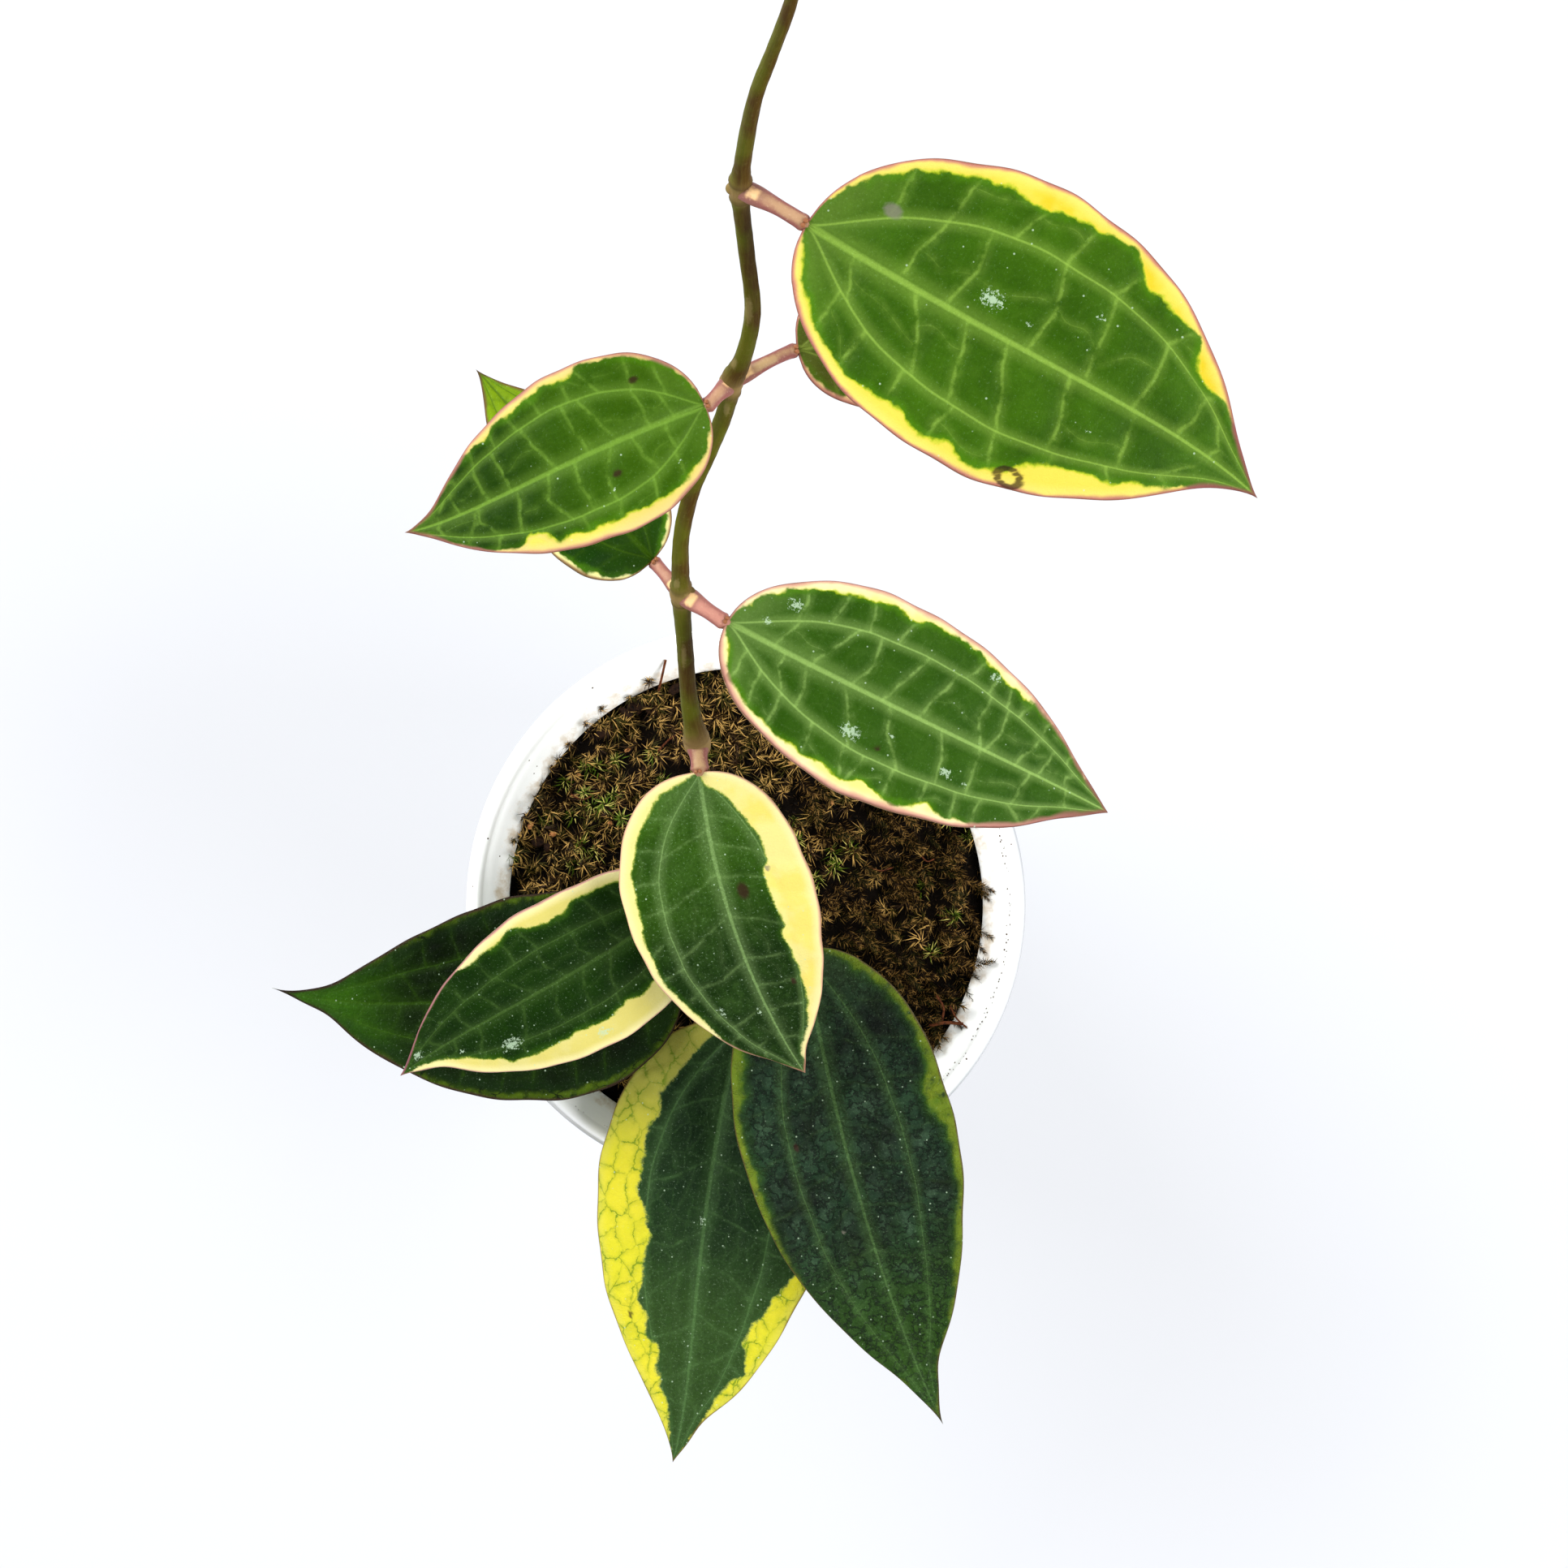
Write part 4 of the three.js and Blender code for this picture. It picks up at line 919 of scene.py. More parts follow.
def lane_veins(leaf, lane, seed):
    """Start, middle and end of each cross vein of a lane; unlisted lanes follow the usual spacing."""
    listed = dict(zip(LISTED_LANES, CROSS_VEINS.get(leaf["name"], "").split(";"))).get(lane)
    if listed:
        return numbers(listed, 3)
    dice = random.Random(seed)
    veins, start = [], 0.1
    lean = 0.035 if lane.startswith("inner") else 0.02
    while start < 0.9:
        middle = start + lean * 0.5 + dice.uniform(-0.012, 0.012)
        veins.append((start, middle, middle + lean * 0.6 + dice.uniform(-0.01, 0.01)))
        start += dice.uniform(0.07, 0.105)
    return np.array(veins)


def lane_fields(leaf, lane, along, share, breadth, seed):
    """Signed distance in mm to the nearest cross vein, and to the nearest short link between two.

    The sign changes at each vein, so that the values pass straight through nought there.
    """
    veins = lane_veins(leaf, lane, seed)
    dice = random.Random(seed + 1)
    early = np.clip(share * 2, 0, 1)[..., None]
    late = np.clip(share * 2 - 1, 0, 1)[..., None]
    runs = veins[:, 0] + (veins[:, 1] - veins[:, 0]) * early + (veins[:, 2] - veins[:, 1]) * late
    sway = np.array([dice.uniform(0, FULL_TURN) for _ in veins])
    runs = runs + 0.002 * np.sin(7 * share[..., None] + sway) * np.sin(np.pi * share)[..., None]
    passed = (runs <= along[..., None]).sum(-1)
    edges = np.concatenate([runs[..., :1] - 1, runs, runs[..., -1:] + 1], -1)
    before = along - np.take_along_axis(edges, passed[..., None], -1)[..., 0]
    after = np.take_along_axis(edges, passed[..., None] + 1, -1)[..., 0] - along
    slope = np.gradient(runs, axis=1) / np.gradient(share, axis=1)[..., None]
    near = np.where(before < after, passed - 1, passed).clip(0, len(veins) - 1)
    steep = np.take_along_axis(slope, near[..., None], -1)[..., 0]
    steep = steep * leaf["length"] / np.maximum(breadth, 0.5)
    net = np.minimum(before, after) * leaf["length"] / np.sqrt(1 + np.minimum(steep**2, 9))
    net = np.where(passed % 2, -net, net)
    link = np.full(share.shape, 5.0)
    for cell in range(1, len(veins)):
        if dice.random() < (0.55 if lane.startswith("inner") else 0.3):
            first, last = dice.uniform(0.25, 0.65), dice.uniform(0.3, 0.7)
            gap = before / np.maximum(before + after, 1e-6)
            off = (share - first - (last - first) * gap - 0.05 * np.sin(7 * gap + cell)) * breadth
            link = np.where(passed == cell, off, link)
    return net, link


def blade_relief(leaf, along, across, net, link, rib):
    """Height of the upper face: creased along the veins, quilted between, waved at the edge."""
    vein = side_vein(leaf, along)
    share = np.abs(across)
    inside = share < vein
    between = np.where(inside, share / np.maximum(vein, 1e-3), (share - vein) / (1 - vein))
    pillow = 1 - bell(net, 1.5)
    pillow *= 1 - 0.35 * bell(link, 1.2)
    rise = np.where(inside, 1.0, 0.7) * QUILT_RISE * leaf["quilting"] * (0.3 + 0.75 * pillow)
    rise *= np.sin(np.pi * between) ** 0.8
    groove = -0.16 * bell(rib, 1.1)
    wave = np.sin(2 * np.pi * EDGE_WAVES * along + leaf["phase"] + np.where(across > 0, 0, 2))
    ruffle = np.sin(43 * along + 2.1 * leaf["phase"] + np.where(across > 0, 0, 1.7)) * leaf["ruffle"]
    dimple = np.sin(31 * along + 9 * across + leaf["phase"]) * np.sin(17 * along - 14 * across)
    puff = 0.0
    if leaf["cells"]:
        fade = np.clip((1 - share) * 6, 0, 1)
        puff = leaf["cells"] * (0.42 * cell_puff(leaf, along, across) * fade - 0.14)
    edge = leaf["wave"] * wave * share**3 + ruffle * share**6
    return rise + groove + edge + leaf["dimples"] * dimple + puff


def cell_puff(leaf, along, across):
    """Small puffed cells of an old leaf: from nought at the creases between them to one."""
    dice = np.random.default_rng(int(leaf["length"] * 10))
    seeds = dice.uniform((0, -1), (1, 1), (PUFFED_CELLS, 2)) * (leaf["length"], leaf["width"] / 2)
    places = np.stack([along * leaf["length"], across * leaf["width"] / 2], -1).reshape(-1, 1, 2)
    places = places + 1.3 * np.sin(places[..., ::-1] * 0.6 + leaf["phase"])
    away = np.sort(np.linalg.norm((places - seeds) * (0.75, 1), axis=2), axis=1)[:, :2]
    return (1 - np.exp(-(((away[:, 1] - away[:, 0]) / 1.8) ** 1.3))).reshape(along.shape)


def margin_reach(leaf, side, along):
    """How far out the margin begins on the left (0) or right (1) half, as a share of it."""
    line = numbers(MARGINS[leaf["name"]].split(";")[side], 2)
    return np.interp(along, line[:, 0], line[:, 1])


def make_blade(leaf, seed):
    """The blade as one closed thin mesh with the distances that its skin is coloured by."""
    columns = 4 * LANE_COLUMNS
    rows = int(leaf["length"] * ROWS_PER_MM)
    obj, column, row = sheet_of(columns, rows)
    steps = np.arange(rows + 1) / rows
    along = 0.0006 + 0.9974 * (0.25 * steps**2.6 + 0.75 * steps**1.12)
    vein = side_vein(leaf, along)
    even = np.arange(LANE_COLUMNS + 1) / LANE_COLUMNS
    outer = 1 - (1 - even) ** 1.55
    lanes = {
        "outer_right": -(vein[:, None] + (1 - vein[:, None]) * outer[::-1]),
        "inner_right": -vein[:, None] * even[::-1],
        "inner_left": vein[:, None] * even,
        "outer_left": vein[:, None] + (1 - vein[:, None]) * outer,
    }
    shares = dict(zip(lanes, (outer[::-1], even[::-1], even, outer)))
    across = np.hstack([lanes["outer_right"][:, :-1], lanes["inner_right"][:, :-1],
                        lanes["inner_left"][:, :-1], lanes["outer_left"]])
    length_wise = np.broadcast_to(along[:, None], across.shape)
    nip = bell(along - leaf["nip_at"], 0.055)
    drift = 0.008 * np.sin(21 * along + leaf["phase"]) + 0.006 * np.sin(47 * along + 2 * leaf["phase"])
    full = leaf["width"] / 2 * outline_share(leaf, along)
    left_half = full * (1 + leaf["lopsided"]) * (1 - leaf["nip_left"] * nip + drift * (along > 0.04))
    right_half = full * (1 - leaf["lopsided"]) * (1 - leaf["nip_right"] * nip - drift * (along > 0.04))
    half = np.where(across > 0, left_half[:, None], right_half[:, None])
    reach = across * half
    lean_left = 1 / np.sqrt(1 + (np.gradient(left_half) / np.gradient(along) / leaf["length"]) ** 2)
    lean_right = 1 / np.sqrt(1 + (np.gradient(right_half) / np.gradient(along) / leaf["length"]) ** 2)
    rim = (1 - np.abs(across)) * half * np.where(across > 0, lean_left[:, None], lean_right[:, None])
    middle_wide = 0.25 + 0.8 * (1 - along[:, None]) ** 0.8
    side_wide = 0.2 + 0.55 * (1 - along[:, None]) ** 0.8
    beside = np.abs(np.abs(across) - vein[:, None]) * half
    rib = np.minimum(np.abs(reach) / middle_wide, beside / side_wide + 0.25)
    fields = {"rim": {}, "rib": {}, "net": {}, "link": {}, "cream": {}}
    net_all, link_all = np.zeros(across.shape), np.zeros(across.shape)
    for place, (lane, spread) in enumerate(lanes.items()):
        own = slice(place * LANE_COLUMNS, (place + 1) * LANE_COLUMNS + 1)
        lane_along = np.broadcast_to(along[:, None], spread.shape)
        lane_share = np.broadcast_to(shares[lane], spread.shape)
        lane_half = (left_half if "left" in lane else right_half)[:, None]
        inner_lane = lane.startswith("inner")
        breadth = np.broadcast_to((vein if inner_lane else 1 - vein)[:, None] * lane_half, spread.shape)
        net, link = lane_fields(leaf, lane, lane_along, lane_share, breadth, seed + 10 * place)
        margin = margin_reach(leaf, 0 if "left" in lane else 1, along)[:, None]
        turn = 1 / np.sqrt(1 + (np.gradient(margin * lane_half, axis=0)
                                / np.gradient(along)[:, None] / leaf["length"]) ** 2)
        fields["net"][place], fields["link"][place] = net, link
        fields["cream"][place] = (np.abs(spread) - margin) * lane_half * turn
        fields["rim"][place], fields["rib"][place] = rim[:, own], rib[:, own]
        net_all[:, own], link_all[:, own] = net, link
    left, up = blade_frame(leaf, along)[1:]
    height = np.abs(reach) * math.sin(FOLD) - ARCH * (2 * reach / leaf["width"]) ** 2
    fade = outline_share(leaf, along)[:, None]
    height = height + fade * blade_relief(leaf, length_wise, across, net_all, link_all, rib)
    rounding = ROUND_EDGE - np.sqrt(np.maximum(ROUND_EDGE**2 - np.maximum(ROUND_EDGE - rim, 0) ** 2, 0))
    thick = BODY + (EDGE - BODY) * np.abs(across) - 2 * rounding
    thick = thick + KEEL * (1 - along[:, None]) * bell(reach, 1.1) + 0.12 * bell(net_all, 0.5)
    spine = midrib_places(leaf, along)
    top = spine[:, None] + left[:, None] * (reach * math.cos(FOLD))[..., None]
    top = top + up[:, None] * (height - rounding)[..., None]
    bottom = top - up[:, None] * np.maximum(thick, 0.05)[..., None]
    count = len(column)
    obj.data.vertices.foreach_set("co", (top[row, column] * MM).ravel())
    only(obj)
    shell = obj.modifiers.new("second_face", "SOLIDIFY")
    shell.thickness = EDGE * MM
    shell.offset = -1
    bpy.ops.object.modifier_apply(modifier=shell.name)
    mesh = obj.data
    both = np.concatenate([top[row, column], bottom[row, column]])
    mesh.vertices.foreach_set("co", (both * MM).ravel())
    corner = np.empty(len(mesh.loops), dtype=int)
    mesh.loops.foreach_get("vertex_index", corner)
    starts = np.empty(len(mesh.polygons), dtype=int)
    mesh.polygons.foreach_get("loop_start", starts)
    corner_row, corner_column = row[corner % count], column[corner % count]
    lowest = np.minimum.reduceat(corner_column, starts)
    lane_of = np.repeat(np.minimum(lowest // LANE_COLUMNS, 3), np.diff(np.append(starts, len(corner))))
    offset = corner_column - lane_of * LANE_COLUMNS
    for name, by_lane in fields.items():
        stack = np.stack([by_lane[place] for place in range(4)])
        values = stack[lane_of, corner_row, np.clip(offset, 0, LANE_COLUMNS)]
        mesh.attributes.new(name, "FLOAT", "CORNER").data.foreach_set("value", values)
    sheet = mesh.uv_layers[0]
    sheet.name = "blade_mm"
    flat = np.stack([reach[corner_row, corner_column], along[corner_row] * leaf["length"]], -1)
    sheet.data.foreach_set("uv", flat.ravel())
    write_points(obj, "under", (np.arange(len(both)) >= count).astype(float))
    puffed = cell_puff(leaf, length_wise, across) if leaf["cells"] else np.ones(across.shape)
    write_points(obj, "cell", np.tile(puffed[row, column], 2))
    spots = {"pale": np.zeros(count), "dark": np.zeros(count), "grey": np.zeros(count)}
    for words in filter(None, BLOTS.get(leaf["name"], "").split(",")):
        t, v, size, kind = words.split()
        side_half = np.interp(float(t) / 100, along, left_half if float(v) > 0 else right_half)
        run = (length_wise - float(t) / 100) * leaf["length"] / 1.5
        away = np.hypot(reach - float(v) / 100 * side_half, run)
        mark = np.maximum(0, 1 - away / float(size))
        if kind == "ring":
            mark = bell(away - float(size) * 0.75, 0.35)
        layer = kind if kind in spots else "dark"
        spots[layer] = np.maximum(spots[layer], mark[row, column])
    for name, values in spots.items():
        write_points(obj, name, np.concatenate([values, 0 * values]))
    bpy.ops.object.shade_smooth()
    return obj


# The skin is waxy and satin, green over paler veins, with a margin that lacks green. The
# margin's border is lobed, bright lime where the colours meet, and its outer edge is rosy.
def leaf_skin(name, length, look):
    material, add = new_material("waxy_leaf_skin_" + name)
    sheet = add("UVMap blade_mm")
    layers = {}
    for field in ("rim", "rib", "net", "link", "cream", "under", "cell", "pale", "dark", "grey"):
        layers[field] = add("Attribute " + field).outputs["Fac"]
    # Noise of five sizes that every part of the pattern shares. The frost's real grains, like
    # the pores, are about 0.2 mm wide, and are drawn at 0.55 mm because finer ones don't show.
    cloud = add("TexNoise", sheet, 0.09, 3, 0.6)
    mottle = add("TexNoise", sheet, 0.33, 4, 0.62)
    grit = add("TexNoise", sheet, 1.5, 4, 0.7)
    lobing = add("TexNoise", sheet, 0.24, 2.5, 0.55)
    frost = add("TexNoise", sheet, 1.8, 2.5, 0.9)
    # Folds: thin lines where the mottle passes its middle, sunk in the bump and darkened as painted shade.
    fold_away = add("Math ABSOLUTE", add("Math SUBTRACT", mottle, 0.5))
    fold = add("MapRange SMOOTHSTEP", fold_away, 0.0, 0.055, look["folds"], 0.0)
    # Small cells of the skin, about 4 mm across and drawn out along the blade.
    drift = add("VectorMath MULTIPLY_ADD", mottle.outputs["Color"], (3.2, 3.2, 0), sheet)
    cell_place = add("VectorMath MULTIPLY", drift, (0.25, 0.19, 1))
    walls = add("TexVoronoi DISTANCE_TO_EDGE", cell_place, 1.0)
    # Cross veins and the short links between them, set a little off their line by noise.
    net_wavy = add("Math MULTIPLY_ADD", mottle, 1.1, layers["net"])
    net_off = add("Math ABSOLUTE", add("Math SUBTRACT", net_wavy, 0.55))
    link_off = add("Math ADD", add("Math ABSOLUTE", layers["link"]), 0.3)
    small_off = add("Math MINIMUM", net_off, link_off)
    # Ground green, deeper in cloudy patches and beside the veins, with a painted sheen that pales the
    # middle of each field and the tops of puffed cells, and painted shade that darkens the creases
    # between cells and the folds.
    run = add("SeparateXYZ", sheet).outputs["Y"]
    tip_mm = look["tip_from"] * length
    cloud_share = add("MapRange", cloud, 0.35, 0.65)
    tip_share = add("MapRange SMOOTHSTEP", run, tip_mm, tip_mm + 0.3 * length)
    rib_far = add("MapRange SMOOTHSTEP", layers["rib"], 1.2, 6.0)
    net_far = add("MapRange SMOOTHSTEP", small_off, 0.3, 2.6)
    rim_far = add("MapRange SMOOTHSTEP", layers["cream"], -0.5, -5.0)
    field_in = add("Math MULTIPLY", add("Math MULTIPLY", rib_far, net_far), rim_far)
    # Painted sheen: a paler colour amid each field, away from veins and margin, and on the tops of puffed
    # cells.
    painted_sheen_amount = add("MapRange", mottle, 0.3, 0.7, 0.0, look["painted_sheen_amount"])
    painted_sheen = add("Math MULTIPLY", field_in, add("Math MULTIPLY", layers["cell"], painted_sheen_amount))
    # Painted shade: the creases between puffed cells and the folds are darkened toward near black.
    crease = add("MapRange SMOOTHSTEP", layers["cell"], 0.75, 0.0, 0.0, look["creases"])
    sunk = add("Math MAXIMUM", crease, fold)
    # Veins: soft pale main veins, thin cross veins that fade in places, and a barely seen net.
    uneven = add("MapRange", mottle, 0.36, 0.58, 0.2, 1.1)
    small_line = add("MapRange SMOOTHSTEP", small_off, 0.7, 0.0, 0.0, look["small_veins"])
    small_halo = add("MapRange SMOOTHSTEP", small_off, 1.9, 0.1, 0.0, look["small_veins"] * 0.35)
    small_veins = add("Math MULTIPLY", add("Math MAXIMUM", small_line, small_halo), uneven)
    wall_line = add("MapRange SMOOTHSTEP", walls, 0.08, 0.0, 0.0, look["cell_lines"])
    glow = add("MapRange SMOOTHSTEP", layers["rib"], 4.0, 0.3, 0.0, look["main_veins"] * 0.36)
    base_glow = add("MapRange SMOOTHSTEP", run, 0.16 * length, 0.0, 0.0, look["main_veins"] * 0.35)
    core = add("MapRange SMOOTHSTEP", layers["rib"], look["rib_mm"], 0.15, 0.0, look["main_veins"])
    fine = add("Math MAXIMUM", small_veins, wall_line)
    broad = add("Math MAXIMUM", add("Math MAXIMUM", glow, base_glow), core)
    vein = add("Math MULTIPLY_ADD", fine, add("Math SUBTRACT", 1.0, broad), broad)
    # Coats of colour over the deep green, among them the painted sheen and the painted crease shade.
    veined = linear(look["deep"])
    for share, over in ((cloud_share, look["green"]), (tip_share, look["tip"]), (painted_sheen, look["painted_sheen"]),
                        (sunk, "#020a03"), (vein, look["vein"])):
        veined = add("Mix RGBA", share, veined, linear(over))
    grain = add("MapRange", frost, 0.3, 0.7, 1 - look["grain"], 1 + look["grain"])
    green_part = add("VectorMath SCALE", veined, grain)
    # Margin: the distance to its border, bent into lobes by noise and nibbled by finer noise.
    lobe_mm = add("MapRange", lobing, 0.3, 0.7, -look["lobes"], look["lobes"])
    nibble_mm = add("MapRange", grit, 0.25, 0.75, -look["nibble"], look["nibble"])
    border = add("Math ADD", add("Math ADD", layers["cream"], lobe_mm), nibble_mm)
    soft = look["border_mm"]
    cream_mask = add("MapRange SMOOTHSTEP", border, -soft, soft)
    fringe_on = add("MapRange SMOOTHSTEP", border, -soft - look["fringe_mm"], -soft * 0.5)
    fringe_where = add("MapRange", cloud, 0.4, 0.62, 0.25, look["fringe_amount"])
    fringe_share = add("Math MULTIPLY", fringe_on, fringe_where)
    lime_share = add("MapRange SMOOTHSTEP", border, 0.0, look["lime_mm"])
    rich_noise = add("MapRange SMOOTHSTEP", cloud, 0.42, 0.58, 0.0, 0.8)
    side_turned = add("Math MULTIPLY", add("SeparateXYZ", sheet).outputs["X"], look["rich_side"])
    side_share = add("MapRange", side_turned, -4, 4, 1 - abs(look["rich_side"]))
    rich_run = add("MapRange", run, look["rich_from"] * length, (look["rich_from"] + 0.25) * length)
    rich_here = add("Math MULTIPLY", add("Math MULTIPLY", lime_share, rich_noise), rich_run)
    rich_share = add("Math MULTIPLY", rich_here, side_share)
    pale_rim = add("MapRange SMOOTHSTEP", layers["rim"], 2.4, 0.5, 0.0, 0.75)
    dull_share = add("MapRange SMOOTHSTEP", run, 0.12 * length, 0.36 * length, look["dull"], 0.0)
    wall_green = add("MapRange SMOOTHSTEP", walls, 0.06, 0.0, 0.0, look["netted"])
    wall_halo = add("MapRange SMOOTHSTEP", walls, 0.22, 0.02, 0.0, look["netted"] * 0.3)
    net_share = add("Math MULTIPLY", add("Math MAXIMUM", wall_green, wall_halo), uneven)
    cream_part = linear(look["lime"])
    for share, over in ((lime_share, look["cream"]), (rich_share, look["rich"]),
                        (pale_rim, look["pale_rim"]), (dull_share, "#93924a"), (net_share, look["net"])):
        cream_part = add("Mix RGBA", share, cream_part, linear(over))
    bare = add("MapRange SMOOTHSTEP", mottle, look["bare"] - 0.12, look["bare"] + 0.12)
    cream_on = add("Math MULTIPLY", cream_mask, bare)
    # Edge: a rosy rim that fades inward, thin and dark at the very edge and brown at the tip.
    edge_mm = add("MapRange", cloud, 0.3, 0.7, look["edge_mm"] * 0.45, look["edge_mm"] * 1.6)
    edge_share = add("Math DIVIDE", layers["rim"], edge_mm)
    edge = add("MapRange SMOOTHSTEP", edge_share, 1.5, 0.3, 0.0, look["edge_amount"])
    edge_dark = add("MapRange SMOOTHSTEP", edge_share, 0.55, 0.0)
    tip_brown = add("MapRange", run, 0.7 * length, 0.95 * length, 0.0, 0.85)
    edge_brown = add("Math MAXIMUM", edge_dark, tip_brown)
    edge_colour = add("Mix RGBA", edge_brown, linear(look["edge"]), linear(look["edge_dark"]))
    # Scratches, hard-water marks and dust. A mark is broken up into flakes by the grit.
    flake_sum = add("Math MULTIPLY_ADD", layers["pale"], 0.36, grit)
    flakes = add("MapRange SMOOTHSTEP", flake_sum, 0.7, 0.77, 0.0, 0.7)
    dust = add("TexVoronoi", sheet, 0.55)
    dust_pick = add("SeparateColor", dust.outputs["Color"]).outputs["Blue"]
    dust_size = add("MapRange", dust_pick, 1 - look["specks"], 1.0, 0.0, 0.12)
    dust_on = add("MapRange", add("Math SUBTRACT", dust_size, dust), 0.0, 0.05, 0.0, 0.6)
    frost_on = add("MapRange", frost, 0.6, 0.74, 0.0, look["frost"])
    white = add("Math MAXIMUM", flakes, add("Math MAXIMUM", dust_on, frost_on))
    scuff = add("MapRange SMOOTHSTEP", layers["grey"], 0.25, 0.6, 0.0, 0.75)
    dark = add("MapRange SMOOTHSTEP", layers["dark"], 0.1, 0.6, 0.0, 0.85)
    # The lower face is paler and greyer, with the same margin and pale veins.
    under_green = add("Mix RGBA", cream_on, linear("#6f8d4a"), linear(look["cream"]))
    under = add("Mix RGBA", vein, under_green, linear("#9fb070"))
    faced = green_part
    for share, over in ((fringe_share, linear(look["fringe"])), (cream_on, cream_part), (edge, edge_colour),
                        (white, linear("#a9c0a2")), (scuff, linear("#6c6a5c")), (dark, linear("#2b1710")),
                        (layers["under"], under)):
        faced = add("Mix RGBA", share, faced, over)
    wall_sink = add("MapRange SMOOTHSTEP", walls, 0.0, 0.25, 0.0, look["cell_bumps"])
    pore_height = add("Math MULTIPLY_ADD", frost, look["pores"], wall_sink)
    wrinkled = add("Math MULTIPLY_ADD", grit, look["wrinkles"], pore_height)
    folded = add("Math MULTIPLY_ADD", fold, -1.6, wrinkled)
    relief = add("Bump", {"Strength": 0.7, "Distance": 0.0004, "Height": folded})
    rough = add("MapRange", white, 0.0, 1.0, look["rough"], 0.85)
    add("OutputMaterial", add("BsdfPrincipled", {
        "Base Color": faced, "Roughness": rough, "Specular IOR Level": look["sheen"], "Normal": relief}))
    return material


# How a usual blade of this plant looks: colours, shares from nought to one, and sizes in mm.
# The paler green of the fields' middles and its amount paint a sheen, and the creases and folds
# paint shade.
USUAL_LOOK = dict(deep="#2e5600", green="#3b640c", painted_sheen="#4b7220", painted_sheen_amount=0.4, vein="#84a64c",
    small_veins=0.42, main_veins=0.75, rib_mm=1.1, cell_lines=0.02, creases=0.0, folds=0.0, grain=0.12,
    cream="#d4c76c", rich="#d8c43c", rich_side=0.0, rich_from=-1.0, dull=0.0, pale_rim="#dcd59c",
    lime="#98a81c", lime_mm=0.7, fringe="#3f6c04", fringe_amount=0.8, fringe_mm=1.3, lobes=0.7, nibble=0.15,
    border_mm=0.28, netted=0.0, net="#5c7814", bare=-1.0, edge="#a86e66", edge_dark="#6a3836", edge_mm=0.55,
    edge_amount=0.9, specks=0.15, frost=0.1, cell_bumps=0.0, pores=0.4, wrinkles=0.5, rough=0.42,
    sheen=0.05, tip="#335612", tip_from=2.0, quilting=1.0, ruffle=0.0, dimples=0.02, cells=0.0)
